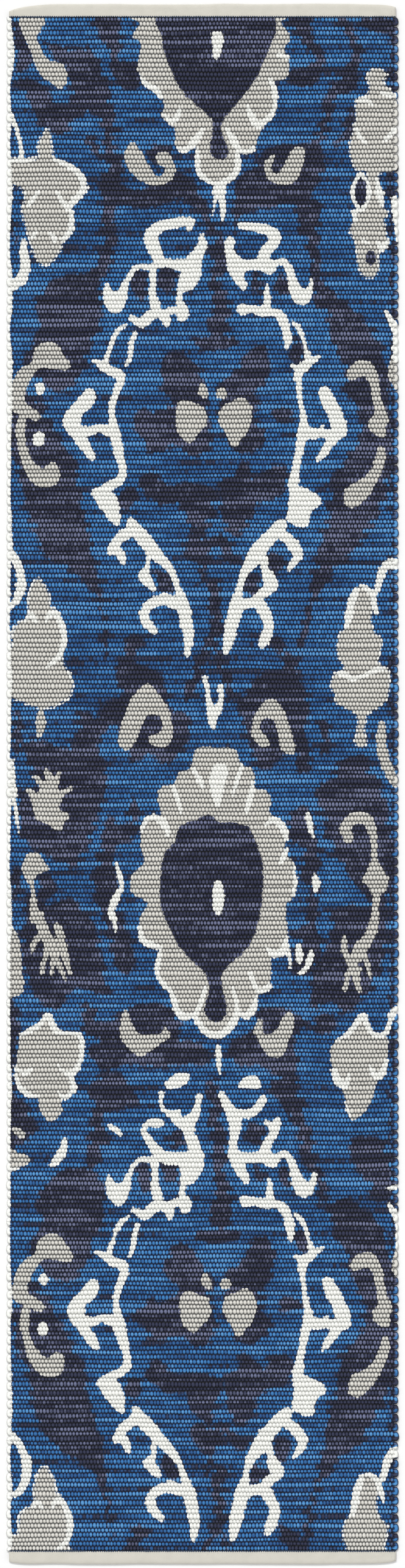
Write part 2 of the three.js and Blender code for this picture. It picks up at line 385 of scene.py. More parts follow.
# %% The shadows and seeds inside the frame
def frame_filling(place):
    """Navy leaves, grey kidneys and dots inside the scroll frame."""
    for outline in (
        [(-95, 803), (-107, 797), (-109, 780), (-105, 760), (-92, 753), (-83, 762), (-84, 795)],
        [(-62, 810), (-68, 795), (-66, 778), (-52, 768), (-41, 770), (-39, 792), (-46, 808)],
        [(80, 800), (92, 793), (97, 780), (90, 767), (80, 775), (77, 790)],
        [(115, 778), (117, 795), (127, 798), (136, 785), (137, 768), (126, 762), (115, 765)],
        [(148, 698), (160, 690), (162, 668), (150, 658), (138, 668), (138, 688)],
        [(-66, 640), (-62, 662), (-45, 675), (-26, 669), (-10, 655), (2, 636), (8, 610), (9, 575),
         (16, 548), (8, 520), (-15, 512), (-42, 526), (-68, 518), (-90, 520), (-96, 540), (-113, 558),
         (-105, 575), (-92, 588), (-72, 582), (-56, 592), (-42, 602), (-62, 615)],
        [(30, 636), (48, 640), (60, 662), (80, 683), (98, 682), (107, 655), (101, 622), (82, 606),
         (95, 590), (82, 570), (100, 555), (92, 530), (70, 516), (42, 525), (36, 548), (28, 575),
         (26, 605)],
        [(112, 582), (122, 592), (142, 588), (150, 578), (136, 566), (118, 565)],
        [(-84, 492), (-64, 478), (-45, 466), (-22, 472), (12, 462), (22, 442), (12, 410), (2, 388),
         (-18, 400), (-30, 418), (-34, 440), (-62, 436), (-80, 448), (-97, 458), (-94, 480)],
        [(26, 465), (48, 482), (60, 505), (82, 478), (104, 498), (128, 495), (134, 472), (120, 452),
         (98, 440), (82, 430), (70, 400), (52, 384), (34, 400), (28, 430)],
        [(-26, 383), (-12, 392), (4, 384), (28, 390), (48, 372), (60, 350), (48, 345), (34, 356), (26, 372),
         (14, 348), (6, 326), (-8, 306), (-2, 335), (-20, 352), (-28, 360)],
        [(-122, 462), (-106, 458), (-104, 440), (-112, 426), (-126, 432), (-134, 445)],
        [(-72, 338), (-58, 334), (-48, 318), (-42, 300), (-52, 292), (-66, 304), (-72, 320)],
        [(64, 318), (76, 328), (90, 320), (90, 302), (78, 292), (66, 296)],
        [(103, 362), (118, 366), (130, 350), (124, 332), (110, 326), (102, 340)],
        [(-118, 228), (-98, 230), (-90, 218), (-106, 200), (-114, 180), (-136, 165), (-130, 190),
         (-122, 210)],
        [(112, 228), (124, 225), (138, 205), (150, 190), (152, 170), (130, 178), (128, 198), (112, 205)],
    ):
        blob("navy", outline, place=place)
    for line in (
        [(22, 868, 7), (24, 840, 10), (27, 818, 14), (22, 790, 9), (26, 762, 12), (30, 740, 14),
         (22, 718, 16), (24, 702, 9)],
        [(-8, 690, 8), (18, 688, 12), (48, 692, 8)],
        [(18, 310, 11), (16, 280, 10), (20, 250, 9), (12, 222, 7), (0, 200, 6), (-8, 170, 7),
         (-22, 140, 10)],
        [(14, 225, 6), (26, 200, 6), (36, 170, 7), (44, 140, 7)],
    ):
        stroke("navy", line, place=place)
    for outline in (
        [(-28, 600), (-14, 595), (1, 588), (8, 571), (2, 556), (-8, 545), (-20, 533), (-32, 540),
         (-40, 556), (-42, 578), (-38, 594)],
        [(62, 603), (75, 592), (78, 570), (70, 550), (58, 535), (50, 526), (42, 538), (32, 555),
         (25, 572), (30, 588), (45, 597)],
        [(0, 628), (7, 616), (9, 606), (0, 604), (-7, 612), (-5, 624)],
        [(30, 620), (38, 612), (36, 604), (24, 604), (22, 612)],
    ):
        blob("grey", outline, place=place)


# %% The motifs beside the frame
def side_motifs(place):
    """Hooks, dots and vases that stand outside the scroll frame on both sides."""
    for outline in (
        [(-288, 600), (-278, 660), (-258, 712), (-262, 752), (-240, 782), (-205, 796), (-172, 792),
         (-158, 760), (-160, 712), (-176, 678), (-186, 640), (-212, 612), (-245, 616), (-262, 640),
         (-272, 624), (-262, 602), (-246, 598), (-240, 575), (-226, 548), (-205, 512), (-192, 470),
         (-186, 430), (-172, 380), (-160, 320), (-152, 260), (-148, 206), (-154, 208), (-160, 262),
         (-172, 300), (-198, 328), (-236, 350), (-262, 385), (-276, 430), (-286, 478), (-300, 520),
         (-302, 570)],
        [(190, 760), (196, 735), (215, 748), (240, 735), (262, 715), (280, 690), (282, 655), (300, 640),
         (290, 600), (298, 560), (296, 500), (286, 450), (270, 410), (255, 385), (230, 350), (205, 330),
         (190, 308), (172, 280), (160, 220), (152, 190), (148, 215), (156, 255), (168, 300), (178, 350),
         (188, 400), (200, 445), (208, 490), (228, 520), (248, 560), (240, 590), (222, 620), (222, 650),
         (205, 680), (194, 715)],
        [(176, 800), (185, 790), (188, 745), (180, 735), (172, 770)],
        [(-122, 142), (-138, 165), (-120, 185), (-95, 185), (-70, 172), (-55, 150), (-48, 118),
         (-25, 110), (-22, 70), (-40, 40), (-62, 30), (-82, 42), (-108, 34), (-122, 52), (-132, 80),
         (-160, 108)],
        [(82, 158), (92, 172), (118, 178), (142, 172), (160, 150), (168, 122), (158, 90), (164, 60),
         (170, 20), (150, 22), (148, 48), (120, 40), (104, 22), (84, 28), (74, 60), (58, 98), (60, 130)],
        [(-280, 60), (-262, 72), (-232, 62), (-205, 58), (-196, 80), (-200, 112), (-180, 112),
         (-172, 100), (-150, 122), (-140, 100), (-160, 60), (-150, 20), (-160, -40), (-175, -90),
         (-205, -132), (-240, -112), (-268, -100), (-282, -80), (-290, -20), (-262, 0), (-270, 30)],
    ):
        blob("navy", outline, place=place)
    blob("grey", [(-246, 690), (-229, 688), (-216, 670), (-207, 655), (-214, 646), (-236, 649),
                  (-254, 650), (-266, 635), (-276, 615), (-279, 600), (-270, 590), (-258, 582),
                  (-252, 572), (-263, 568), (-277, 575), (-303, 588), (-300, 620), (-291, 640),
                  (-280, 652), (-266, 660), (-262, 679)], place=place)
    stroke("grey", [(-281, 574, 6), (-284, 552, 7), (-282, 528, 6), (-275, 507, 8), (-266, 490, 11),
                    (-252, 479, 14), (-239, 480, 15), (-234, 492, 10)], place=place)
    stroke("grey", [(233, 640, 8), (244, 648, 12), (257, 648, 11), (267, 632, 8), (271, 612, 7),
                    (275, 592, 7), (279, 572, 11), (272, 561, 13), (280, 548, 7)], place=place)
    stroke("grey", [(278, 524, 5), (278, 508, 8), (272, 490, 8), (262, 475, 10), (250, 461, 14),
                    (238, 452, 16), (233, 443, 12)], place=place)
    dot("white", -254, 618, 7, 10, place=place)
    dot("white", -256, 539, 9, 12, place=place)
    stroke("white", [(286, 738, 3), (296, 722, 5), (304, 702, 7), (305, 668, 9)], place=place)
    stroke("grey", [(300, 662, 6), (298, 640, 8), (303, 622, 5)], place=place)
    # left: bare edge and vase
    stroke("white", [(-304, 368, 6), (-292, 350, 6), (-284, 328, 7), (-284, 306, 8), (-290, 288, 6),
                     (-302, 276, 5)],
           place=place)
    blob("grey", [(-258, 320), (-250, 312), (-241, 296), (-239, 279), (-228, 268), (-219, 250),
                  (-217, 226), (-222, 206), (-218, 186), (-208, 170), (-203, 155), (-208, 138),
                  (-226, 125), (-250, 118), (-276, 127), (-304, 140), (-312, 172), (-310, 206),
                  (-296, 214), (-296, 236), (-286, 252), (-270, 262), (-272, 280), (-268, 302)],
         rim=3, place=place)
    for line in (
        [(-277, 256, 3), (-267, 263, 5), (-259, 252, 2)],
        [(-245, 253, 2), (-238, 266, 5), (-227, 263, 5), (-219, 245, 5), (-216, 224, 5), (-221, 205, 4),
         (-232, 192, 4), (-244, 182, 2)],
        [(240, 303, 5), (233, 284, 6), (229, 265, 6), (225, 246, 4)],
        [(252, 308, 4), (264, 299, 4), (268, 285, 5), (273, 266, 3)],
        [(303, 344, 9), (288, 342, 7), (279, 327, 6), (275, 308, 5), (270, 296, 3)],
        [(208, 172, 2), (220, 172, 5), (235, 164, 4), (247, 168, 3), (262, 174, 4), (276, 180, 4),
         (286, 178, 2)],
    ):
        stroke("white", line, place=place)
    stroke("grey", [(-253, 114, 4), (-253, 96, 8), (-254, 78, 5)], place=place)
    blob("grey", [(250, 310), (262, 300), (264, 280), (262, 256), (268, 238), (279, 225), (276, 206),
                  (273, 190), (288, 180), (291, 160), (288, 136), (278, 122), (260, 112), (255, 100),
                  (252, 84), (256, 66), (247, 57), (239, 68), (243, 86), (240, 108), (225, 118),
                  (210, 128), (208, 140), (201, 150), (205, 170), (222, 180), (214, 195), (210, 215),
                  (216, 235), (226, 248), (229, 270), (231, 290), (238, 303)], rim=2, place=place)


for place in (straight, second_repeat):
    scroll_frame(place)
    frame_filling(place)
    side_motifs(place)
print("motifs in both impressions laid down")

# %% [markdown]
# The other motifs are printed once: an eye with its petals at the head, and a small flower on
# each side. At the foot the second impression is simply cut off by the end of the cloth.

# %% The head end
for rim, outline in zip((0, 0, 2.5, 0, 0, 2), (
    [(-283, 1198), (-284, 1180), (-277, 1164), (-268, 1145), (-262, 1125), (-252, 1108), (-236, 1095),
     (-220, 1087), (-212, 1098), (-212, 1112), (-222, 1127), (-238, 1130), (-247, 1138), (-254, 1152),
     (-260, 1167), (-252, 1178), (-248, 1198)],
    [(-100, 1203), (-98, 1188), (-109, 1168), (-96, 1156), (-101, 1120), (-92, 1096), (-64, 1076),
     (-60, 1059), (-64, 1046), (-52, 1031), (-42, 1024), (-42, 997), (-29, 989), (-11, 997), (-10, 971),
     (-7, 955), (1, 943), (20, 936), (37, 938), (50, 945), (58, 960), (56, 988), (67, 985), (80, 992),
     (86, 1008), (95, 1026), (111, 1043), (115, 1062), (111, 1096), (130, 1103), (135, 1127), (128, 1150),
     (138, 1168), (121, 1189), (115, 1203)],
    [(-257, 976), (-256, 1000), (-244, 1022), (-238, 1010), (-232, 978), (-198, 962), (-181, 938),
     (-185, 924), (-197, 911), (-209, 899), (-201, 872), (-206, 860), (-219, 848), (-222, 837),
     (-231, 822), (-245, 811), (-258, 818), (-266, 841), (-276, 873), (-281, 899), (-276, 915),
     (-283, 932), (-312, 945), (-312, 975), (-290, 973)],
    [(-111, 1003), (-122, 982), (-114, 958), (-85, 937), (-52, 941), (-43, 962), (-52, 984), (-60, 987),
     (-72, 984), (-70, 969), (-57, 961), (-67, 950), (-77, 956), (-93, 984)],
    [(114, 984), (96, 970), (106, 942), (137, 938), (150, 951), (161, 987), (153, 995), (142, 993),
     (130, 971), (116, 953), (106, 965)],
    [(269, 1119), (258, 1106), (262, 1090), (259, 1078), (241, 1065), (241, 1042), (235, 1016),
     (231, 990), (240, 961), (257, 957), (258, 935), (262, 915), (243, 893), (231, 866), (240, 845),
     (244, 808), (256, 792), (272, 799), (276, 832), (289, 838), (283, 880), (290, 893), (278, 905),
     (273, 945), (280, 956), (305, 962), (308, 1000), (304, 1070), (281, 1095), (287, 1110)],
)):
    blob("grey", outline, rim=rim)
blob("eye", [(-62, 1203), (-62, 1165), (-58, 1138), (-34, 1086), (6, 1048), (15, 1036), (15, 1015),
             (11, 1000), (13, 984), (32, 975), (40, 988), (31, 1016), (31, 1036), (72, 1086), (97, 1134),
             (105, 1203)])
for line in (
    [(-8, 990, 4), (-7, 968, 4), (-2, 950, 4.5), (22, 939, 3), (48, 950, 5), (55, 965, 5), (54, 985, 4)],
    [(-38, 994, 3), (-29, 990, 4), (-19, 996, 5), (-8, 1010, 6), (2, 1024, 2)],
    [(-36, 1056, 2), (-40, 1042, 5), (-50, 1036, 4), (-60, 1047, 2)],
    [(-98, 1108, 2), (-88, 1094, 4), (-74, 1086, 5), (-64, 1072, 3)],
    [(36, 1026, 2), (46, 1010, 6), (56, 994, 5), (68, 988, 4), (80, 993, 4)],
    [(70, 1060, 2), (77, 1043, 5), (86, 1030, 6), (98, 1036, 5), (110, 1048, 4), (114, 1062, 3)],
    [(106, 1100, 3), (112, 1085, 4), (114, 1065, 3)],
    [(120, 1140, 4), (133, 1135, 4)],
    [(-231, 976, 3), (-214, 969, 4), (-198, 959, 5), (-187, 945, 5), (-186, 932, 5), (-195, 918, 5),
     (-207, 905, 5)],
    [(-206, 893, 4), (-204, 878, 4), (-208, 863, 4), (-218, 851, 4)],
    [(-228, 928, 2), (-220, 912, 4), (-210, 900, 5)],
    [(-255, 928, 2), (-264, 914, 4), (-273, 904, 3)],
    [(-239, 862, 2), (-230, 850, 5)],
    [(-258, 864, 2), (-266, 856, 4)],
    [(-299, 1046, 2), (-291, 1025, 3), (-285, 1005, 3.5), (-282, 980, 4)],
    [(-300, 976, 3), (-280, 974, 4), (-262, 977, 3)],
    [(240, 1024, 2), (246, 1012, 4), (256, 1000, 2)],
    [(302, 1026, 3), (292, 1012, 4), (284, 1005, 2)],
    [(241, 1068, 3), (256, 1068, 4), (266, 1062, 2)],
    [(280, 1080, 3), (296, 1076, 4)],
    [(272, 945, 2), (276, 925, 6), (280, 908, 4)],
    [(236, 893, 4), (240, 880, 3)],
    [(251, 850, 3), (262, 842, 2)],
    [(272, 850, 2), (282, 838, 5), (290, 850, 3)],
    # the top of the first scroll frame
    [(-22, 868, 5), (-17, 879, 6), (-33, 878, 8), (-52, 875, 8), (-70, 869, 9), (-80, 857, 11),
     (-78, 842, 11), (-66, 815, 9)],
    [(-2, 857, 3), (0, 845, 7), (-5, 832, 9), (-14, 820, 10)],
    [(60, 873, 5), (80, 870, 6.5), (100, 866, 8), (114, 856, 9), (109, 843, 8.5), (98, 829, 10),
     (95, 814, 11)],
    [(43, 848, 8), (42, 832, 7), (50, 818, 10), (58, 808, 12)],
    [(299, 916, 4), (303, 898, 7), (304, 875, 5), (306, 850, 4)],
    [(-280, 848, 4), (-279, 830, 7), (-277, 810, 8), (-283, 790, 9), (-296, 779, 8)],
):
    stroke("white", line)
blob("white", [(16, 1174), (30, 1174), (34, 1166), (29, 1150), (28, 1138), (20, 1132), (15, 1138),
               (16, 1150), (13, 1161)])
blob("white", [(19, 937), (36, 937), (36, 912), (35, 884), (30, 881), (25, 914), (19, 900), (15, 886),
               (17, 908)])
stroke("white", [(247, 954, 3), (257, 941, 3), (260, 925, 3), (257, 908, 3), (247, 896, 3), (238, 908, 3),
                 (235, 925, 3), (238, 941, 3), (247, 954, 3)])
dot("eye", 247, 925, 10, 26)
dot("eye", 263, 822, 8, 11)

# %% The middle: a medallion
blob("grey", [(-10, 55), (20, 57), (50, 54), (60, 32), (75, 25), (82, 10), (82, -6), (98, -10),
              (107, -25), (104, -42), (114, -55), (128, -62), (133, -80), (128, -105), (142, -125),
              (145, -150), (140, -180), (130, -190), (132, -240), (126, -264), (108, -270), (105, -312),
              (86, -332), (78, -356), (56, -360), (48, -378), (20, -397), (0, -388), (-14, -362),
              (-30, -367), (-42, -348), (-46, -326), (-70, -302), (-66, -262), (-88, -252), (-99, -238),
              (-98, -210), (-86, -186), (-108, -172), (-111, -145), (-92, -122), (-96, -98), (-96, -72),
              (-86, -54), (-66, -50), (-70, -20), (-62, -4), (-45, 0), (-36, 18), (-18, 26)])
blob("eye", [(10, -48), (-10, -56), (-34, -66), (-44, -92), (-58, -108), (-66, -150), (-64, -195),
             (-48, -230), (-38, -252), (-8, -284), (6, -300), (10, -330), (2, -352), (12, -370),
             (30, -370), (37, -352), (32, -320), (31, -294), (58, -268), (78, -244), (92, -185),
             (94, -130), (85, -95), (72, -68), (45, -60), (26, -60)])
blob("white", [(18, 29), (38, 29), (39, 12), (32, -8), (28, -30), (22, -36), (15, -18), (11, 2)])
dot("white", 25, -178, 9, 28)
for line in (
    [(-14, 23, 3), (-4, 6, 4), (0, -8, 2)],
    [(62, 28, 3), (54, 8, 4), (48, -18, 2)],
    [(-45, -4, 3), (-39, -22, 4), (-33, -45, 2)],
    [(80, 5, 2), (75, -20, 5), (70, -42, 4)],
    [(-96, -76, 2), (-88, -57, 4), (-74, -52, 5), (-60, -62, 6), (-54, -80, 3)],
    [(98, -64, 3), (112, -56, 5), (126, -68, 6), (131, -84, 4)],
    [(132, -100, 2), (128, -112, 5), (120, -125, 2)],
    [(142, -128, 2), (145, -150, 3), (141, -176, 2)],
    [(-99, -222, 3), (-94, -243, 5), (-78, -252, 5), (-64, -257, 3)],
    [(-67, -265, 4), (-71, -292, 4), (-60, -314, 4), (-48, -326, 4), (-42, -348, 5), (-30, -364, 6),
     (-18, -362, 4)],
    [(4, -316, 2), (0, -338, 4), (-8, -354, 4)],
    [(-12, -360, 4), (-2, -380, 5), (14, -392, 6), (32, -390, 6), (48, -372, 6), (54, -352, 4),
     (48, -318, 2)],
    [(56, -358, 3), (70, -362, 6), (82, -346, 5), (84, -332, 3)],
    [(74, -296, 4), (80, -312, 4), (90, -324, 4), (104, -316, 5)],
    [(100, -256, 3), (112, -266, 6), (126, -260, 6), (132, -240, 3)],
    [(133, -250, 2), (136, -272, 3), (138, -288, 1.5)],
    [(-136, -122, 2), (-130, -140, 4), (-126, -160, 4), (-134, -176, 6), (-143, -198, 5), (-138, -215, 4),
     (-134, -230, 2)],
    [(164, -46, 3), (167, -62, 5), (172, -84, 2)],
    [(176, -143, 3), (177, -155, 7), (176, -170, 2)],
    [(150, -253, 4), (150, -265, 6), (150, -277, 4)],
    [(170, -262, 3), (168, -274, 5), (162, -287, 4), (152, -296, 3)],
    [(-299, 36, 4), (-296, 10, 4), (-295, -15, 4), (-291, -45, 3), (-287, -78, 1)],
    [(3, 166, 4), (7, 148, 4), (10, 128, 5), (15, 108, 8), (17, 88, 4)],
    [(28, 152, 4), (29, 138, 4), (26, 122, 6), (20, 110, 7)],
    # stem and first shoots below the medallion
    [(24, -410, 3), (25, -425, 5), (26, -452, 2)],
    [(-64, -484, 5), (-66, -496, 3), (-60, -509, 3), (-48, -516, 6), (-36, -512, 3)],
    [(-6, -488, 5), (-8, -502, 5), (-13, -518, 8), (-23, -530, 10), (-20, -547, 9), (-14, -562, 9),
     (-12, -584, 11), (-24, -604, 12)],
    [(-48, -518, 5), (-36, -528, 9), (-24, -532, 8)],
    [(-92, -540, 4), (-84, -530, 5), (-72, -530, 8), (-62, -530, 4)],
    [(-94, -543, 4), (-84, -556, 6), (-74, -571, 8), (-60, -584, 9), (-40, -588, 7), (-22, -590, 8)],
    [(-144, -535, 4), (-135, -541, 5), (-128, -548, 3)],
    [(30, -485, 5), (38, -500, 7), (48, -516, 10), (51, -534, 10), (48, -556, 6), (50, -576, 7)],
    [(52, -514, 6), (72, -516, 7), (86, -506, 7), (95, -492, 6)],
    [(98, -528, 3), (110, -534, 6), (118, -524, 4)],
    [(116, -530, 7), (111, -546, 7), (101, -562, 7), (96, -578, 8)],
    [(-216, -558, 5), (-218, -572, 6), (-225, -585, 7), (-237, -597, 3)],
    [(-302, -604, 3), (-285, -599, 2)],
    [(290, -632, 3), (301, -630, 4)],
):
    stroke("white", line)
for outline in (
    [(-22, -453), (-42, -453), (-58, -466), (-55, -476), (-35, -474), (-22, -463)],
    [(55, -473), (62, -461), (76, -455), (87, -459), (92, -472), (85, -477), (68, -475)],
):
    blob("white", outline)

# %% Hooks, sprigs and flowers beside the medallion
for outline in (
    [(-85, 157), (-108, 137), (-122, 108), (-130, 82), (-132, 64), (-118, 52), (-104, 68), (-97, 90),
     (-84, 108), (-68, 106), (-61, 92), (-68, 80), (-82, 74), (-80, 62), (-62, 58), (-48, 70), (-50, 108),
     (-62, 132)],
    [(105, 133), (88, 118), (78, 95), (78, 76), (92, 58), (106, 64), (98, 76), (88, 88), (100, 104),
     (114, 94), (122, 58), (134, 48), (145, 52), (136, 90), (122, 122)],
    [(-308, -232), (-288, -238), (-282, -290), (-280, -322), (-294, -332), (-308, -330)],
    [(-266, -20), (-246, -8), (-224, -12), (-220, -24), (-224, -38), (-208, -48), (-216, -60), (-222, -74),
     (-240, -64), (-260, -54), (-264, -38)],
    [(-270, -108), (-256, -108), (-248, -122), (-239, -134), (-262, -144), (-262, -165), (-258, -190),
     (-252, -212), (-270, -214), (-268, -165), (-282, -136), (-278, -118)],
    [(268, -112), (280, -130), (290, -150), (284, -168), (270, -178), (258, -160), (250, -150),
     (258, -135)],
    [(-120, -352), (-130, -385), (-122, -405), (-108, -420), (-92, -425), (-66, -405), (-50, -394),
     (-62, -380), (-84, -392), (-102, -388), (-112, -372)],
    [(135, -355), (143, -372), (132, -408), (124, -425), (104, -425), (84, -397), (82, -376), (92, -368),
     (102, -386), (116, -378)],
    [(-308, -565), (-290, -576), (-272, -582), (-274, -594), (-308, -602)],
):
    blob("grey", outline)
for outline in (
    [(-242, -358), (-232, -378), (-205, -390), (-190, -392), (-188, -425), (-204, -456), (-200, -476),
     (-220, -495), (-220, -514), (-240, -527), (-254, -508), (-258, -490), (-276, -487), (-292, -458),
     (-286, -405), (-284, -392), (-252, -376)],
    [(252, -360), (238, -382), (206, -404), (200, -420), (206, -458), (221, -484), (225, -508), (236, -525),
     (262, -500), (272, -464), (286, -444), (289, -398), (272, -392), (260, -380)],
):
    blob("grey", outline)
blob("eye", [(-112, -350), (-104, -370), (-88, -388), (-68, -391), (-61, -381), (-72, -372), (-78, -356),
             (-94, -346)])
blob("eye", [(92, -378), (99, -392), (112, -386), (122, -374), (117, -362), (102, -364)])
for line in (
    [(-262, 12, 3), (-252, 0, 5), (-246, -12, 7)],
    [(-244, 20, 4), (-238, 6, 7), (-236, -8, 8)],
    [(-224, 18, 3), (-230, 2, 5), (-232, -10, 6)],
    [(-272, -10, 3), (-262, -20, 6), (-255, -28, 8)],
    [(-205, -6, 3), (-215, -12, 4), (-226, -20, 6)],
    [(-256, -205, 8), (-250, -225, 8), (-240, -245, 9), (-230, -262, 8)],
    [(-250, -235, 5), (-262, -246, 4), (-266, -262, 3)],
    [(-228, -220, 4), (-222, -240, 6), (-217, -262, 6), (-211, -282, 4), (-207, -298, 2)],
    [(-242, -255, 5), (-247, -275, 4), (-251, -296, 3)],
    [(-232, -262, 6), (-234, -280, 4), (-236, -298, 3)],
    [(-228, -272, 4), (-221, -290, 4), (-214, -306, 2)],
    [(228, -84, 8), (223, -68, 9), (236, -54, 9), (254, -54, 9), (264, -68, 7), (268, -88, 5),
     (268, -112, 5)],
    [(272, -172, 5), (270, -200, 5), (267, -222, 8), (258, -242, 8), (246, -258, 11), (240, -272, 9)],
    [(221, -238, 3), (222, -262, 5), (231, -280, 5), (243, -290, 6)],
    [(253, -268, 4), (258, -284, 4), (262, -300, 3)],
    [(238, -284, 5), (228, -298, 4), (222, -320, 4)],
    [(240, -288, 5), (240, -306, 5), (246, -322, 4)],
    [(280, 94, 5), (279, 75, 7), (280, 55, 8), (286, 35, 8), (294, 15, 8), (302, 0, 6)],
    [(-292, -541, 5), (-283, -548, 6)],
):
    stroke("grey", line)
for line in (
    [(-284, -392, 3), (-268, -384, 4), (-252, -374, 4), (-242, -362, 5), (-234, -376, 5), (-226, -387, 4),
     (-206, -390, 3), (-192, -393, 4), (-188, -412, 4), (-191, -434, 4), (-204, -452, 5), (-218, -449, 3),
     (-226, -438, 1)],
    [(-292, -455, 3), (-284, -475, 4), (-268, -487, 4), (-254, -487, 2)],
    [(-206, -458, 4), (-200, -475, 4), (-214, -490, 4), (-224, -482, 2)],
    [(-294, -442, 2), (-278, -452, 4), (-266, -444, 2)],
    [(210, -400, 2), (228, -390, 4), (241, -373, 5), (252, -362, 5), (258, -378, 4), (268, -391, 4),
     (283, -392, 4), (292, -376, 4), (297, -359, 6), (304, -352, 6)],
    [(204, -446, 3), (212, -464, 7), (224, -470, 5), (230, -452, 2)],
    [(262, -440, 2), (268, -455, 5), (280, -453, 6), (288, -432, 3)],
    [(222, -498, 2), (232, -520, 2)],
):
    stroke("white", line)

# %% Shadows of the head end and the middle
for outline in (
    [(-296, 1192), (-284, 1190), (-274, 1160), (-262, 1128), (-285, 1110), (-292, 1130)],
    [(-243, 1158), (-215, 1152), (-175, 1150), (-160, 1128), (-148, 1090), (-138, 1050), (-134, 1020),
     (-150, 1010), (-162, 1040), (-180, 1050), (-198, 1040), (-205, 1020), (-230, 1014), (-255, 1030),
     (-262, 1050), (-280, 1080), (-292, 1100), (-262, 1098), (-245, 1088), (-222, 1062), (-206, 1062),
     (-208, 1090), (-214, 1118), (-238, 1135)],
    [(-172, 1197), (-130, 1200), (-128, 1180), (-126, 1150), (-132, 1130), (-100, 1128), (-100, 1092),
     (-118, 1085), (-132, 1092), (-142, 1120), (-150, 1150), (-165, 1175)],
    [(48, 895), (58, 940), (75, 965), (95, 985), (120, 1000), (150, 1000), (165, 1003), (185, 1000),
     (185, 975), (188, 945), (175, 925), (168, 900), (170, 860), (178, 830), (172, 790), (165, 830),
     (155, 860), (150, 895), (140, 905), (110, 898), (80, 895), (62, 880), (55, 860)],
    [(-270, -175), (-240, -190), (-205, -178), (-185, -195), (-165, -230), (-155, -270), (-145, -320),
     (-158, -330), (-200, -320), (-215, -345), (-235, -355), (-262, -330), (-265, -300), (-280, -290),
     (-282, -250), (-278, -210)],
    [(-150, -50), (-135, -55), (-115, -60), (-120, -30), (-105, -25), (-98, -60), (-110, -90),
     (-135, -100), (-140, -130), (-128, -170), (-138, -190), (-120, -220), (-105, -260), (-112, -295),
     (-128, -295), (-142, -265), (-150, -230), (-165, -180), (-172, -150), (-162, -105)],
    [(140, -40), (155, -30), (170, -45), (178, -80), (185, -110), (178, -140), (182, -180), (178, -220),
     (190, -250), (178, -280), (160, -300), (140, -290), (150, -250), (135, -230), (155, -220),
     (165, -185), (158, -150), (150, -140), (160, -110), (150, -95), (135, -90), (134, -60)],
    [(200, 10), (215, 35), (235, 42), (255, 45), (262, 30), (275, 0), (288, -30), (295, -60), (298, -90),
     (296, -150), (286, -190), (292, -230), (285, -270), (275, -310), (255, -330), (240, -350),
     (215, -360), (208, -340), (190, -345), (168, -360), (172, -330), (175, -295), (190, -265),
     (205, -225), (195, -200), (215, -195), (235, -185), (255, -195), (262, -180), (240, -160),
     (215, -125), (195, -90), (190, -60), (175, -30), (178, 0)],
    [(-190, -345), (-170, -345), (-160, -370), (-140, -365), (-130, -355), (-110, -348), (-60, -342),
     (-40, -365), (-30, -375), (-40, -395), (-20, -400), (5, -408), (5, -440), (-30, -440), (-70, -445),
     (-120, -440), (-160, -445), (-180, -420), (-160, -400), (-188, -385)],
    [(85, -350), (110, -345), (135, -350), (165, -370), (150, -385), (145, -400), (150, -430), (140, -460),
     (110, -455), (90, -445), (45, -440), (45, -410), (60, -395), (75, -385), (85, -372)],
    [(-308, -340), (-290, -345), (-285, -380), (-292, -420), (-298, -460), (-280, -500), (-262, -520),
     (-262, -545), (-280, -560), (-308, -560)],
    [(-175, -470), (-150, -450), (-120, -455), (-105, -480), (-100, -500), (-125, -505), (-150, -520),
     (-150, -560), (-158, -590), (-175, -600), (-180, -560), (-170, -520)],
    [(105, -470), (140, -450), (150, -480), (160, -510), (175, -560), (180, -600), (165, -600), (150, -560),
     (140, -520), (120, -500)],
    [(230, -560), (280, -555), (298, -600), (295, -640), (275, -650), (250, -620)],
):
    blob("navy", outline)
for line in (
    [(-180, 1010, 6), (-170, 995, 8), (-160, 980, 6)],
    [(-148, 1010, 8), (-141, 975, 11), (-140, 940, 14), (-143, 900, 12), (-145, 865, 9), (-149, 830, 10),
     (-165, 795, 14), (-190, 765, 16)],
    [(-140, 925, 16), (-105, 915, 14), (-70, 920, 16), (-35, 935, 18), (-10, 915, 12), (12, 880, 6),
     (22, 855, 6)],
    [(150, 1198, 20), (160, 1172, 12), (176, 1145, 7), (184, 1126, 11), (160, 1106, 17), (142, 1104, 8)],
    [(212, 1198, 8), (235, 1168, 8), (240, 1140, 8), (228, 1100, 13), (205, 1080, 12), (196, 1055, 6),
     (192, 1030, 6), (180, 1005, 10)],
    [(250, 1192, 7), (278, 1185, 13), (298, 1180, 8), (302, 1150, 5)],
    [(232, 1050, 6), (226, 1015, 9), (206, 1000, 7)],
    [(176, 900, 12), (172, 860, 10), (174, 820, 8), (184, 780, 10), (205, 748, 16), (232, 715, 22)],
    [(-297, 880, 4), (-294, 860, 5), (-296, 845, 4)],
    [(-292, 110, 6), (-290, 80, 8), (-288, 50, 6)],
    [(185, 95, 8), (195, 75, 6), (190, 55, 7)],
    [(15, -470, 10), (20, -500, 9), (22, -540, 10)],
    # painted shade: a thin navy line down the right edge, where the loops shade the field beside them
    [(296, 1190, 3.5), (297, 800, 3.5), (297, 400, 3), (297, -200, 3), (297, -1190, 3)],
):
    stroke("navy", line)
for x, y, wide, high in (
    (-68, 985, 20, 18), (-292, -155, 8, 25), (-245, -160, 14, 18), (190, -375, 18, 18), (82, -545, 16, 18),
    (-40, -555, 12, 16),
):
    dot("navy", x, y, wide, high)

# %% Bare rims
RIM_OVERLAP = 0.3  # mm that a rim and its grey motif share

table["white"] = np.minimum(table["white"], np.maximum(table["rim"], RIM_OVERLAP - table["grey"]))
print(f"white covers {np.mean(table['white'] < 0):.0%} of the printer's table")

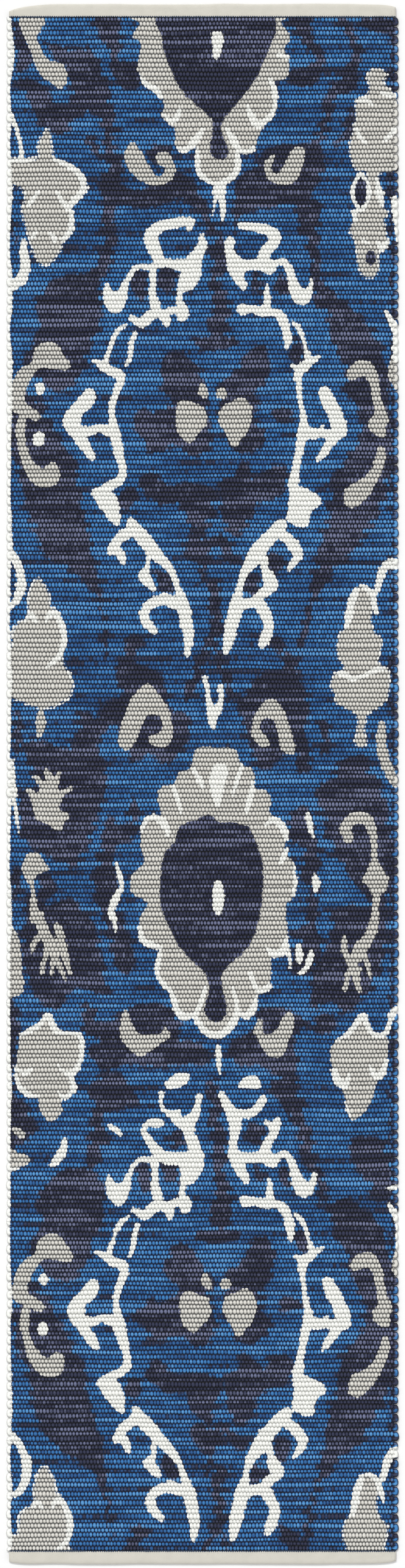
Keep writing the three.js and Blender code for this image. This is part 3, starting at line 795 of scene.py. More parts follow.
# %% [markdown]
# ## The weft of rag strips
#
# Each pick is a soft strip of rag, beaten down flat between the warp yarns. Where a warp yarn
# passes over it the rag is squeezed, and between two such yarns it swells into an oval bead.
# Beads of the next pick sit half a bead aside, because the warp crosses over between picks.
# A cloth texture with bump could show this, but the beads are the rug's real shape. So the rag
# is one long tube that runs to and fro, with four rings to a bead and five to each quarter turn.

# %% Helper: random grids
def knots(seed, reach, *shape):
    """Random numbers in -reach..reach, the same on every run."""
    return np.random.default_rng(seed).uniform(-reach, reach, shape)


def blended(grid, row, column):
    """Reads a grid of random knots between its rows and columns, with cosine blending."""
    row = np.clip(row, 0, grid.shape[0] - 1.001)
    column = np.clip(column, 0, grid.shape[1] - 1.001)
    r, c = row.astype(int), column.astype(int)
    a = (1 - np.cos(np.pi * (row - r))) / 2
    b = (1 - np.cos(np.pi * (column - c))) / 2
    near = grid[r, c] * (1 - b) + grid[r, c + 1] * b
    far = grid[r + 1, c] * (1 - b) + grid[r + 1, c + 1] * b
    return near * (1 - a) + far * a


def share_across(x):
    """How far x, in mm, is from the left end of SPAN to its right end, as 0 to 1."""
    return (x + SPAN / 2) / SPAN


# %% Where the picks lie
WANDER = 1.2  # mm that a group of picks strays together
GROUP_PICKS = 14
GROUP_COLUMNS = 7  # stretches of the width that wander on their own
ROW_STRAY = 0.7  # mm by which one pick is thicker or thinner than the next
ROW_WOBBLE = 0.7  # mm by which that changes along the pick
ROW_COLUMNS = 8
STRAIGHT_PICKS = 3  # picks at each end over which the wander fades out

common_wander = knots(11, WANDER, picks // GROUP_PICKS + 4, GROUP_COLUMNS + 2)
row_stray = knots(12, ROW_STRAY, picks + 2)
row_wobble = knots(13, ROW_WOBBLE, picks + 2, ROW_COLUMNS + 2)


def boundary(k, x):
    """Distance along the rug of the line between pick k-1 and pick k, at x (both in mm): even
    spacing, plus a wander shared by neighbours, plus the row's own stray and wobble. All of it
    fades out at the two ends, where the tape holds the picks straight."""
    k = np.asarray(k) + 0.0 * x
    across = share_across(x)
    stray = blended(common_wander, k / GROUP_PICKS, across * GROUP_COLUMNS)
    stray = stray + row_stray[k.astype(int)] + blended(row_wobble, k, across * ROW_COLUMNS)
    fade = np.clip(np.minimum(k, picks - k) / STRAIGHT_PICKS, 0, 1)
    return cloth_low / MM + k * pick_pitch / MM + fade * stray


print(f"first pick from {boundary(0, 0.0):.0f} mm, last to {boundary(picks, 0.0):.0f} mm")

# %% Where the warp leans
WARP_STRAY = 0.75  # mm that a warp yarn leans from its place in the reed
LEAN_PICKS = 4  # picks that a lean lasts
LEAN_COLUMNS = 100
EDGE_KEPT = 4.0  # mm beside each cord where no yarn leans
EDGE_FADE = 8.0  # mm over which the lean comes in

warp_lean = knots(14, WARP_STRAY, picks // LEAN_PICKS + 3, LEAN_COLUMNS + 2)


def leaned(x, pick):
    """x moved with the warp: neighbours lean together, and the edges stay straight."""
    lean = blended(warp_lean, pick / LEAN_PICKS + 0.0 * x, share_across(x) * LEAN_COLUMNS)
    return x + lean * np.clip((cord_x / MM - EDGE_KEPT - np.abs(x)) / EDGE_FADE, 0, 1)


print(f"widest lean {np.abs(warp_lean).max():.2f} mm")

# %% The rag between the selvedges
BEADS = WARP_COUNT // 2
BEAD = bead_pitch / MM
BEAD_RINGS = np.array([-0.45, -0.22, 0.22, 0.45])  # shares of a bead from its middle
CREST = np.array([0.0, 1.0, 1.0, 0.0])  # how much of a bead each ring is
SECTION = np.array([(-0.96, 0.15), (0, 1), (0.96, 0.15), (0, -1)])  # shares of width, height
HALF_HEIGHT = 2.45  # mm, of the rag's section
CREST_HEIGHT = 3.5  # mm, middle of the rag at a bead
SQUEEZED_HEIGHT = 2.45  # mm, middle of the rag under a warp yarn
SQUEEZED_WIDTH = 0.77  # share of half a pick, under a warp yarn
BEAD_WIDTH = 0.42  # added to that share at a bead
BEAD_SINK = 0.28  # mm that one bead can lie lower than the next
BEAD_SWELL = 0.08  # change of width from bead to bead
THIN, THICK = 0.7, 1.15  # bounds of a pick's thickness against an even one
RAG_SEED = 100


def beaded_run(pick, ahead):
    """For each pick, the rings between the selvedges: their x, the bead that each is on, their
    crest, half the pick's width, its thickness and the points of their sections. `ahead` is 1
    for a pick that runs to the right and -1 for one that runs back."""
    count = len(pick)
    order = np.arange(BEADS)[None, :]
    bead = np.where(ahead > 0, order, BEADS - 1 - order)
    middle = -warp_half_width / MM + (2 * bead + pick % 2 + 0.5) * warp_pitch / MM
    x = (middle[:, :, None] + ahead[:, :, None] * BEAD_RINGS * BEAD).reshape(count, -1)
    x = leaned(x, pick)
    phase = (bead[:, :, None] + ahead[:, :, None] * BEAD_RINGS).reshape(count, -1)
    crest = np.tile(CREST, (count, BEADS))
    draw = np.random.default_rng(RAG_SEED + int(pick[0, 0]))
    rings = len(BEAD_RINGS)
    lift = np.repeat(draw.uniform(-BEAD_SINK, BEAD_SINK, (count, BEADS)), rings, 1)
    swell = np.repeat(draw.uniform(-BEAD_SWELL, BEAD_SWELL, (count, BEADS)), rings, 1)
    low, high = boundary(pick, x), boundary(pick + 1, x)
    half = (high - low) / 2
    width = half * (SQUEEZED_WIDTH + BEAD_WIDTH * crest + swell * crest)
    thickness = np.clip(half / (pick_pitch / MM / 2), THIN, THICK)
    rise = CREST_HEIGHT - SQUEEZED_HEIGHT + np.minimum(lift, 0)
    height = SQUEEZED_HEIGHT + rise * crest * thickness
    aside = ahead[:, :, None] * width[:, :, None] * SECTION[:, 0]
    points = np.stack(
        [
            x[:, :, None] + 0 * aside,
            ((low + high) / 2)[:, :, None] + aside,
            height[:, :, None] + SECTION[:, 1] * HALF_HEIGHT,
        ],
        -1,
    )
    return x, phase, crest, half, thickness, points


print(f"{BEADS} beads to a pick, {len(BEAD_RINGS)} rings to a bead")

# %% The loops at the selvedges
TURN_ANGLES = np.radians([2.0, 16.0, 34.0, 54.0, 74.0])
LOOP_STRETCH = 1.1  # how much further than a half circle the edge loops reach
LOOP_SQUARE = 0.5  # power of the cosine: under 1 it squares the loop's outer edge
LOOP_WIDTH = 0.97  # share of the radius that the section's width takes up
LOOP_HEIGHT = 3.0  # mm, middle of the rag in a loop
LOOP_CREST = 0.6  # how much of a bead a loop is, for the colours


def half_loop(side, k, angles, radius):
    """Rings of half a loop round the selvedge cord: the path is a half circle about the cord
    at boundary k, stretched outwards and squared, and the section is laid along its radius."""
    pivot = boundary(k, side * cord_x / MM + 0 * angles)[:, :, None]
    reach = radius * (1 - side[:, :, None] * SECTION[:, 0] * LOOP_WIDTH)
    squared = np.cos(angles) ** LOOP_SQUARE
    x = side[:, :, None] * (cord_x / MM + LOOP_STRETCH * reach * squared[:, :, None])
    y = pivot + reach * np.sin(angles)[:, :, None]
    z = LOOP_HEIGHT + SECTION[:, 1] * HALF_HEIGHT + 0 * x
    return np.stack([x, y, z], -1)


def loop_radius(own, neighbour, angles):
    """Half the pick's width where the loop starts, and half way round the loop the mean of the
    two picks that it joins: the share of the neighbour goes as the cosine squared."""
    shared = (np.cos(angles) ** 2)[:, :, None] / 2
    return own + (neighbour - own) * shared


print(f"{2 * len(TURN_ANGLES)} rings to a loop")

# %% One length of rag weft
def rag_length(first, count):
    """Points of `count` picks from pick `first`, and the numbers that go with them. The rings
    follow a path that runs across, turns half round a selvedge cord and runs back."""
    pick = np.arange(first, first + count)[:, None]
    ahead = np.where(pick % 2 == 0, 1, -1)
    x, phase, crest, half, thickness, run = beaded_run(pick, ahead)

    side = ahead.astype(float)
    enter = np.broadcast_to(TURN_ANGLES, (count, len(TURN_ANGLES)))
    leave = -enter[:, ::-1]
    start, end = x[:, :1], x[:, -1:]
    before = (boundary(pick, start) - boundary(pick - 1, start))[:, :, None] / 2
    after = (boundary(pick + 2, end) - boundary(pick + 1, end))[:, :, None] / 2
    first_radius = loop_radius(half[:, :1, None], before, enter)
    last_radius = loop_radius(half[:, -1:, None], after, leave)
    first_loop = half_loop(-side, pick, enter, first_radius)
    last_loop = half_loop(side, pick + 1, leave, last_radius)
    points = np.concatenate([first_loop, run, last_loop], 1).reshape(-1, 3)
    corners = len(SECTION)

    def per_point(in_first, in_run, in_last):
        """One number per point, from a number per ring in each of the three stretches."""
        in_first, in_last = (np.broadcast_to(part, enter.shape) for part in (in_first, in_last))
        return np.repeat(np.concatenate([in_first, in_run, in_last], 1).ravel(), corners)

    beyond = np.linspace(0.6, 0.3, len(TURN_ANGLES))[None, :]
    first_phase = phase[:, :1] - side * beyond
    last_phase = phase[:, -1:] + side * beyond[:, ::-1]
    face_crest = per_point(LOOP_CREST, crest, LOOP_CREST)
    under = np.tile(SECTION[:, 1] == -1, len(points) // corners)
    numbers = {
        "bead": per_point(first_phase, phase, last_phase),
        "crest": np.where(under, 1 - face_crest, face_crest),
        "loop": per_point(1.0, 0 * crest, 1.0),
        "pick": per_point(pick, pick + 0 * crest, pick),
        "thickness": per_point(1.0, thickness, 1.0),
    }
    return points, numbers


print(f"{(BEADS * len(BEAD_RINGS) + 2 * len(TURN_ANGLES)) * len(SECTION)} points to a pick")

# %% [markdown]
# The print is read off the printer's table at every point of the weft. The navy shadows are
# dyed into the rag before weaving, so each pick carries them a little to the left or right of
# its neighbour, which gives the stepped, streaky edge of an ikat. The other inks go on last and
# only stray by the depth of a bead. The outermost loops on the left escaped the printer.

# %% Reading the print
STAIN_STRAY = 5.5  # mm that the dyed shadows shift from pick to pick
INK_STRAY = 1.3  # mm that the printed edges shift
INK_COLUMNS = 110  # stretches of the width that shift on their own
BARE_EDGE = -299.0  # mm, the printer's left limit
BARE_STRAY = 2.5  # mm that this limit wanders
BARE_STEP = 42.0  # mm of length between its knots
BARE_BULGE = 6.0  # mm further in near the head end
BULGE_AT, BULGE_REACH = 1145.0, 40.0  # mm along the rug, and its spread

stain_shift = knots(21, STAIN_STRAY, picks + 1)
ink_shift = knots(22, INK_STRAY, picks + 1, INK_COLUMNS + 10)
edge_shift = knots(23, BARE_STRAY, 60, 2)


def off_table(ink, x, y):
    """Distance at points between the table's own, blended linearly."""
    column = np.clip((x - table_x[0]) / TABLE_STEP, 0, len(table_x) - 1.001)
    row = np.clip((y - table_y[0]) / TABLE_STEP, 0, len(table_y) - 1.001)
    c, r = column.astype(int), row.astype(int)
    a, b = column - c, row - r
    grid = table[ink]
    near = grid[r, c] * (1 - a) + grid[r, c + 1] * a
    far = grid[r + 1, c] * (1 - a) + grid[r + 1, c + 1] * a
    return near * (1 - b) + far * b


def left_limit(x, y):
    """Distance past the printer's left limit: a wavy line with one bulge, a bell curve."""
    wave = blended(edge_shift, (y - table_y[0]) / BARE_STEP, 0 * y)
    bulge = BARE_BULGE * np.exp(-(((y - BULGE_AT) / BULGE_REACH) ** 2))
    return x - BARE_EDGE + wave - bulge


def inks_on(piece, points, pick):
    """Stores the distance to each ink's edge, shifted sideways pick by pick."""
    x, y = points[:, 0], points[:, 1]
    row = pick.astype(int)
    shifted = x + blended(ink_shift, row, share_across(x) * INK_COLUMNS)
    number_on(piece, "navy", off_table("navy", x + stain_shift[row], y))
    for ink in ("grey", "eye"):
        number_on(piece, ink, off_table(ink, shifted, y))
    number_on(piece, "white", np.minimum(off_table("white", shifted, y), left_limit(x, y)))


print("inks to read:", ", ".join(INKS[:4]))

# %% How light the rag is
PICK_TONE = 0.45  # reach of one number for a whole pick
RUN_TONE = 0.75  # reach of one number for a stretch of it, where dye took well or badly
RUN_COLUMNS = 11

pick_tones = knots(24, PICK_TONE, picks + 1)
run_tones = knots(25, RUN_TONE, picks + 1, RUN_COLUMNS + 2)


def tone_of(points, pick):
    """The pick's own tone, plus that of the stretch of it."""
    row = pick.astype(int)
    return pick_tones[row] + blended(run_tones, row, share_across(points[:, 0]) * RUN_COLUMNS)


print(f"stretches of {SPAN / RUN_COLUMNS:.0f} mm differ in tone")

# %% Weave the lengths
weave = []
for start in range(0, len(strips), STRIPS_PER_LENGTH):
    members = strips[start : start + STRIPS_PER_LENGTH]
    count = PICKS_PER_STRIP * len(members)
    points, numbers = rag_length(start * PICKS_PER_STRIP, count)
    name = f"rag_weft_{start // STRIPS_PER_LENGTH + 1:02d}"
    rings = len(points) // len(SECTION)
    piece = cloth_mesh(name, points * MM, ring_faces(rings, len(SECTION)))
    for key_name, values in numbers.items():
        number_on(piece, key_name, values)
    number_on(piece, "crown", np.tile(np.abs(SECTION[:, 1]) == 1, rings))
    number_on(piece, "tone", tone_of(points, numbers["pick"]))
    inks_on(piece, points, numbers["pick"])
    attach(piece, "root")
    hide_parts(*members)
    weave.append(piece)
print(f"{len(weave)} lengths, {sum(len(p.data.polygons) for p in weave)} faces")

# %% [markdown]
# ## Warp yarns and selvedge cords
#
# The warp is fine cotton, wound on the loom before weaving. Each yarn goes over one pick and
# under the next, so it shows only as a short dark stitch in the dip between two beads. A three
# sided tube with one ring to a pick is enough for a yarn a millimetre thick. At each edge the
# rag turns round a doubled cord, which goes straight down the rug inside the loops.

# %% Warp yarns
WARP_WEAVE = 2.2  # mm that a yarn rises and falls about its plane
WARP_PIECES = 3
YARN_SECTION = np.array([(0.5, -0.35), (0, 0.5), (-0.5, -0.35)])
plane = warp_plane / MM


def yarns(xs, rows, rise, section):
    """Tubes down the rug at each x, one ring at the middle of each pick in `rows`. A yarn is
    `rise` above its plane where its number plus the pick's is odd, and as far below it where
    the sum is even."""
    yarn = np.arange(len(xs))[:, None]
    x = leaned(xs[:, None], rows)
    y = (boundary(rows, x) + boundary(rows + 1, x)) / 2
    z = plane + rise * np.where((yarn + rows) % 2, 1, -1)
    rings = np.stack([x, y, z], -1)[:, :, None, :]
    offsets = np.zeros((len(section), 3))
    offsets[:, [0, 2]] = section
    return (rings + offsets).reshape(-1, 3)


warp_x = (np.arange(WARP_COUNT) + 0.5) * warp_pitch / MM - warp_half_width / MM
ends = np.linspace(0, picks, WARP_PIECES + 1).astype(int)
warp = []
for number, (first, last) in enumerate(zip(ends[:-1], ends[1:]), 1):
    rows = np.arange(first, last)
    points = yarns(warp_x, rows, WARP_WEAVE, YARN_SECTION)
    piece = cloth_mesh(
        f"warp_yarns_{number}", points * MM, ring_faces(len(rows), len(YARN_SECTION), WARP_COUNT)
    )
    inks_on(piece, points, np.tile(np.repeat(rows, len(YARN_SECTION)), WARP_COUNT))
    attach(piece, "root")
    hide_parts("warp_yarns")
    warp.append(piece)
print(f"{WARP_COUNT} yarns, {sum(len(p.data.polygons) for p in warp)} faces")

# %% Selvedge cords
CORD_TURN = 2 * np.pi / 6  # twist from one pick to the next
CORD_SWELL = 0.12  # share by which its two plies bulge


def selvedge_cord(name, side):
    """A tube along the boundaries of the picks. Its section is an oval with two bulges that
    turn from ring to ring, as in a twist of two plies."""
    rows = np.arange(picks)
    around = np.arange(8) * np.pi / 4
    x = side * cord_x / MM
    y = (boundary(rows, x) + boundary(rows + 1, x)) / 2
    wide = (cord_high.x - cord_low.x) / MM / 2
    tall = (cord_high.z - cord_low.z) / MM / 2
    swell = 1 + CORD_SWELL * np.cos(2 * (around[None, :] + rows[:, None] * CORD_TURN))
    points = np.stack(
        [
            x + wide * np.cos(around) * swell,
            y[:, None] + 0 * around,
            plane + tall * np.sin(around) * swell,
        ],
        -1,
    ).reshape(-1, 3)
    piece = cloth_mesh(name + "_twist", points * MM, ring_faces(len(rows), len(around)))
    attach(piece, "root")
    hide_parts(name)
    inks_on(piece, points, np.repeat(rows, len(around)))
    return piece


warp += [selvedge_cord("selvedge_cord_left", -1), selvedge_cord("selvedge_cord_right", 1)]
print("cords laid in both selvedges")

# %% [markdown]
# ## Headings and binding tapes
#
# The last picks at each end are fine cotton: a heading, which holds the rags in and is thin
# enough to bind. A herringbone tape is folded over it, with both raw edges turned in at the
# mouth. The tape is one strip of cloth, so it is made as one: the line of its cross section is
# drawn from one raw edge to the other, given the cloth's thickness on both sides, and carried
# along the end of the rug with a little unevenness, as a hand feeds it under the needle.

# %% Worn corners
tape_low, tape_high = (np.array(corner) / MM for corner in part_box("binding_tape_head"))
TAPE_HALF_WIDTH = tape_high[0]
tape_mouth = tape_low[1]
tape_depth = tape_high[1] - tape_low[1]
tape_height = tape_high[2] - tape_low[2]
CORNER_DROP = {"head": (11.5, 5.0), "foot": (4.0, 5.0)}  # mm lost at the left and right corner
CORNER_FADE = {"head": (22.0, 12.0), "foot": (12.0, 14.0)}  # mm over which it comes back


def corner_loss(end, x):
    """How far the outer edge is pulled in at x: an exponential from each corner."""
    left, right = CORNER_DROP[end]
    fade_left, fade_right = CORNER_FADE[end]
    from_left = np.exp(-(x + TAPE_HALF_WIDTH) / fade_left)
    from_right = np.exp((x - TAPE_HALF_WIDTH) / fade_right)
    return left * from_left + right * from_right


print(f"tape covers {tape_depth:.1f} mm of each end")

# %% Headings
HEADING_PICKS = 6
HEADING_BEAT = 0.2  # share by which a pick sinks and swells under the warp
HEADING_FILL = 0.48  # a pick's half width against the pitch
HEADING_TALL = 0.475  # a pick's half height against the heading's
HEADING_KEPT = 0.8  # mm that the last pick stays inside the tape's end
HEADING_INSET = 1.0  # mm that the picks end short of the heading's sides


def heading(end):
    """Fine picks side by side across the rug: straight tubes with a six sided section that
    swells and sinks as the warp crosses it."""
    low, high = (np.array(corner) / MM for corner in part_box(f"heading_{end}"))
    x = np.linspace(low[0] + HEADING_INSET, high[0] - HEADING_INSET, WARP_COUNT)
    around = np.arange(6) * np.pi / 3
    pitch = (high[1] - low[1]) / HEADING_PICKS
    pick = np.arange(HEADING_PICKS)[:, None, None]
    over = np.cos(np.pi * (np.arange(len(x))[None, :, None] + pick))
    beat = 1 - HEADING_BEAT + HEADING_BEAT * over
    y = low[1] + (pick + 0.5) * pitch - pitch * HEADING_FILL * np.cos(around) + 0 * beat
    side = 1 if end == "head" else -1
    share = (side * y - tape_mouth) / tape_depth
    y = y - side * (corner_loss(end, x)[None, :, None] + HEADING_KEPT) * share
    z = (low[2] + high[2]) / 2 + (high[2] - low[2]) * HEADING_TALL * np.sin(around) * beat
    points = np.stack([x[None, :, None] + 0 * y, y, z], -1).reshape(-1, 3)
    faces = ring_faces(len(x), len(around), HEADING_PICKS)
    piece = cloth_mesh(f"heading_picks_{end}", points * MM, faces)
    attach(piece, "root")
    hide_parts(f"heading_{end}")
    return piece


headings = [heading("head"), heading("foot")]
print("heading picks at each end:", HEADING_PICKS)

# %% The tape's cross section
TAPE_CLOTH = 0.55  # mm thick
CLEARANCE = 0.02  # mm that the cloth stays inside the CAD tape
FOLD = 0.5  # mm, radius of the fold at the mouth
TURN_IN = 6.0  # mm of raw edge inside
FLAT_FROM, FLAT_TO = 4.0, 8.5  # mm from the mouth, where the tape lies flat
NOSE = 5.5  # mm, length of the half ellipse round the rug's end


def section_line():
    """The tape's middle line as (outwards, up) points: in along the turned edge, round the
    fold at the mouth, over the top, round the nose as half an ellipse, and back below."""
    fold = np.radians(np.linspace(270, 90, 5))
    nose = np.radians(np.linspace(90, -90, 13))
    middle = tape_height / 2
    reach = TAPE_CLOTH / 2 + CLEARANCE
    top = tape_height - reach - FOLD
    nose_at = tape_depth - reach - NOSE

    def folded(up):
        return np.stack([reach + FOLD + FOLD * np.cos(fold), up + FOLD * np.sin(fold)], 1)

    round_nose = np.stack(
        [nose_at + NOSE * np.cos(nose), middle + (middle - reach) * np.sin(nose)], 1
    )
    flat = np.array([[FLAT_FROM, 0], [FLAT_TO, 0]])
    over = flat + (0, tape_height - reach)
    under = flat[::-1] + (0, reach)
    start = np.array([[TURN_IN, top - FOLD]])
    finish = np.array([[TURN_IN, reach + 2 * FOLD]])
    return np.vstack([start, folded(top), over, round_nose, under, folded(reach + FOLD), finish])


def both_sides(line):
    """The closed outline of a strip of cloth about its middle line: the line moved half the
    cloth's thickness to its left, then back along its right."""
    along = np.gradient(line, axis=0)
    along /= np.linalg.norm(along, axis=1)[:, None]
    left = np.stack([-along[:, 1], along[:, 0]], 1) * TAPE_CLOTH / 2
    return np.vstack([line + left, (line - left)[::-1]])


outline = both_sides(section_line())
tape_flat_width = np.linalg.norm(np.diff(section_line(), axis=0), axis=1).sum()
print(f"tape is {tape_flat_width:.0f} mm wide before folding")

# %% The tapes
TAPE_STEP = 3.6  # mm between rings
NOSE_WANDER, NOSE_WAVE = 0.7, 45  # mm that the outer edge strays, and mm between its knots
MOUTH_WANDER, MOUTH_WAVE = 0.8, 30  # the same for the mouth
PUCKER, PUCKER_WAVE = 0.12, 18  # the same for dips in the face
END_PINCH = 0.22  # share of the height lost where the tape's two ends are stitched shut
PINCH_FADE = 4.0  # mm over which the height comes back


def tape(end, seed):
    """The outline carried across the rug. Outward distances are scaled so that the corners
    are worn round: the loss fades exponentially from each corner."""
    side = 1 if end == "head" else -1
    x = np.linspace(-TAPE_HALF_WIDTH, TAPE_HALF_WIDTH, int(2 * TAPE_HALF_WIDTH / TAPE_STEP))
    outer = smooth_noise(seed, NOSE_WAVE, x) * NOSE_WANDER - corner_loss(end, x)
    mouth = smooth_noise(seed + 1, MOUTH_WAVE, x) * MOUTH_WANDER - MOUTH_WANDER
    dip = smooth_noise(seed + 2, PUCKER_WAVE, x) * PUCKER
    pinch = 1 - END_PINCH * np.exp(-(TAPE_HALF_WIDTH - np.abs(x)) / PINCH_FADE)
    out, up = outline[None, :, 0], outline[None, :, 1]
    share = np.clip(out / tape_depth, 0, 1)
    y = tape_mouth + out + mouth[:, None] * (1 - share) + outer[:, None] * share
    z = tape_height / 2 + (up - tape_height / 2) * pinch[:, None]
    z = z - np.clip(dip, 0, 1)[:, None] * (up > tape_height / 2)
    if side < 0:
        y, z = -y[:, ::-1], z[:, ::-1]
    points = np.stack([x[:, None] + 0 * y, y, z], -1).reshape(-1, 3)
    piece = cloth_mesh(f"binding_cloth_{end}", points * MM, ring_faces(len(x), len(outline)))
    number_on(piece, "from_mouth", side * points[:, 1] - tape_mouth)
    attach(piece, "root")
    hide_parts(f"binding_tape_{end}")
    return piece


tapes = [tape("head", 31), tape("foot", 41)]
print("faces on a tape:", len(tapes[0].data.polygons))

# %% [markdown]
# ## Seams
#
# A lockstitch shows as a row of short dashes on each side of the tape, and the four corners
# are closed by hand with a few stitches. Every stitch is a little arch of thread whose ends
# sink into the cloth.

# %% Stitches
THREAD = 0.3  # mm, radius
THREAD_AT_HOLE = 0.7  # share of that radius where the thread is pulled into its hole
STITCH = 3.2  # mm from one needle hole to the next
STITCH_RINGS = 5
STITCH_SUNK = 0.5  # mm that a hole is below the cloth's face
STITCH_RISE = 0.55  # mm that the arch rises from its holes
HOLE_GAP = 0.06  # share of a stitch that is left at each hole
SEAM_INSET = 2.0  # mm from the end of the CAD seam to the first hole
SEAM_BITE, CORNER_BITE = 0.1, 0.15  # mm that the thread is pressed into the tape
CORNER_FROM = 2.5  # mm from the mouth to the first corner stitch
CORNER_TO = 0.55  # share of the tape's depth at which the corner stitches stop


def stitch_row(name, node, start, finish, face):
    """Arches from `start` to `finish` (x, y, z in mm): each rises as a half sine from its
    holes and is thinner there. `face` is 1 on top of the rug and -1 below."""
    start, finish = np.array(start, float), np.array(finish, float)
    length = np.linalg.norm(finish - start)
    count = max(2, int(length / STITCH))
    along = (finish - start) / length
    aside = np.array([along[1], -along[0], 0])
    share = np.linspace(HOLE_GAP, 1 - HOLE_GAP, STITCH_RINGS)
    arch = np.sin(np.pi * share)
    around = np.arange(6) * np.pi / 3
    middle = start + along * (length * (np.arange(count)[:, None] + share) / count)[..., None]
    middle[..., 2] += face * (arch * STITCH_RISE - STITCH_SUNK)
    girth = THREAD * (THREAD_AT_HOLE + (1 - THREAD_AT_HOLE) * arch)[None, :, None, None]
    up = np.array([0, 0, 1.0])
    circle = aside * np.cos(around)[:, None] + up * np.sin(around)[:, None]
    points = (middle[:, :, None, :] + girth * circle).reshape(-1, 3)
    piece = cloth_mesh(name, points * MM, ring_faces(STITCH_RINGS, len(around), count))
    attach(piece, "root")
    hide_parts(node)
    return piece


def seam_line(end, seam):
    """The row of stitches along a tape, on the rug's face or back."""
    node = f"{seam}_seam_{end}"
    low, high = (np.array(corner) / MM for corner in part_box(node))
    y = (low[1] + high[1]) / 2
    face, z = (1, tape_height - SEAM_BITE) if seam == "face" else (-1, THREAD + SEAM_BITE)
    start, finish = (low[0] + SEAM_INSET, y, z), (high[0] - SEAM_INSET, y, z)
    return stitch_row(f"{seam}_stitches_{end}", node, start, finish, face)


def corner_line(end, side, which):
    """The few stitches that close one end of a tape, from near its mouth outwards."""
    node = f"end_stitches_{end}_{which}"
    low, high = (np.array(corner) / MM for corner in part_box(node))
    x, z = (low[0] + high[0]) / 2, tape_height - CORNER_BITE
    near = side * (tape_mouth + CORNER_FROM)
    far = side * (tape_mouth + tape_depth * CORNER_TO)
    return stitch_row(f"corner_stitches_{end}_{which}", node, (x, near, z), (x, far, z), 1)


threads = []
for end, side in (("head", 1), ("foot", -1)):
    threads += [seam_line(end, seam) for seam in ("face", "back")]
    threads += [corner_line(end, side, which) for which in "ab"]
print("thread pieces:", len(threads))

# %% [markdown]
# ## Materials
#
# Shader maths reads best as formulas. `Value` wraps a socket, so that `1 - mask * 0.5` adds
# the Math nodes for itself. `Shader` holds one material's node tree and adds any other node.

# %% Helper: sockets as numbers
class Value:
    """A number that varies over the surface."""

    def __init__(self, shader, socket):
        self.shader, self.socket = shader, socket

    def math(self, operation, *others, clamp=False):
        settings = {"operation": operation, "use_clamp": clamp}
        return self.shader.node("ShaderNodeMath", settings, {0: self} | dict(enumerate(others, 1)))

    def __add__(self, other):
        return self.math("ADD", other)

    def __sub__(self, other):
        return self.math("SUBTRACT", other)

    def __rsub__(self, other):
        return (self * -1) + other

    def __mul__(self, other):
        return self.math("MULTIPLY", other)

    __radd__, __rmul__ = __add__, __mul__

    def rise(self, low, high):
        """0 below `low`, 1 above `high`, smooth between. A mirrored pair falls instead."""
        settings = {"interpolation_type": "SMOOTHSTEP", "clamp": True}
        if low > high:
            return 1 - self.rise(high, low)
        return self.shader.node("ShaderNodeMapRange", settings, {0: self, 1: low, 2: high})


class Shader:
    """A cloth material: a Principled shader and whatever feeds it."""

    def __init__(self, name, **fixed):
        self.material = bpy.data.materials.new(name)
        self.material.use_nodes = True
        self.tree = self.material.node_tree
        self.surface = self.tree.nodes["Principled BSDF"]
        for socket, value in fixed.items():
            self.surface.inputs[socket.replace("_", " ")].default_value = value

    def node(self, kind, settings=None, inputs=None, output=0):
        """Adds a node: settings first, then its inputs by index or name. Returns an output."""
        made = self.tree.nodes.new(kind)
        for name, value in (settings or {}).items():
            setattr(made, name, value)
        for place, value in (inputs or {}).items():
            self.feed(made.inputs[place], value)
        return Value(self, made.outputs[output])

    def feed(self, socket, value):
        if isinstance(value, Value):
            self.tree.links.new(value.socket, socket)
        else:
            socket.default_value = value

    def number(self, name):
        return self.node("ShaderNodeAttribute", {"attribute_name": name}, output="Fac")

    def mix(self, share, first, second):
        """A colour between two colours."""
        settings = {"data_type": "RGBA"}
        return self.node("ShaderNodeMix", settings, {0: share, 6: first, 7: second}, output=2)

    def place(self):
        return self.node("ShaderNodeTexCoord", output="Object")

    def noise(self, place, scale, detail=2.0, roughness=0.55):
        """Cloudy numbers, about 0.5 on average; scale is in blobs per metre."""
        inputs = {"Vector": place, "Scale": scale, "Detail": detail, "Roughness": roughness}
        return self.node("ShaderNodeTexNoise", None, inputs)

    def stretched(self, place, x, y, z):
        return self.node("ShaderNodeMapping", None, {"Vector": place, "Scale": (x, y, z)})

    def chance(self, first, second):
        """One random number for each whole pair of numbers."""
        pair = self.node("ShaderNodeCombineXYZ", None, {0: first, 1: second})
        return self.node("ShaderNodeTexWhiteNoise", {"noise_dimensions": "2D"}, {"Vector": pair})

    def finish(self, colour, height, depth, *pieces):
        """Feeds the surface: colour, and a height in 0..1 that is `depth` metres deep."""
        self.feed(self.surface.inputs["Base Color"], colour)
        bump = self.node("ShaderNodeBump", None, {"Strength": 1.0, "Distance": depth, "Height": height})
        self.feed(self.surface.inputs["Normal"], bump)
        for piece in pieces:
            piece.data.materials.clear()
            piece.data.materials.append(self.material)


def paint(red, green, blue):
    """A colour as it looks on a screen, 0 to 255, made linear for the shader."""
    share = np.array([red, green, blue]) / 255
    linear = np.where(share > 0.04045, ((share + 0.055) / 1.055) ** 2.4, share / 12.92)
    return (*linear.tolist(), 1.0)


print("shader helpers ready")
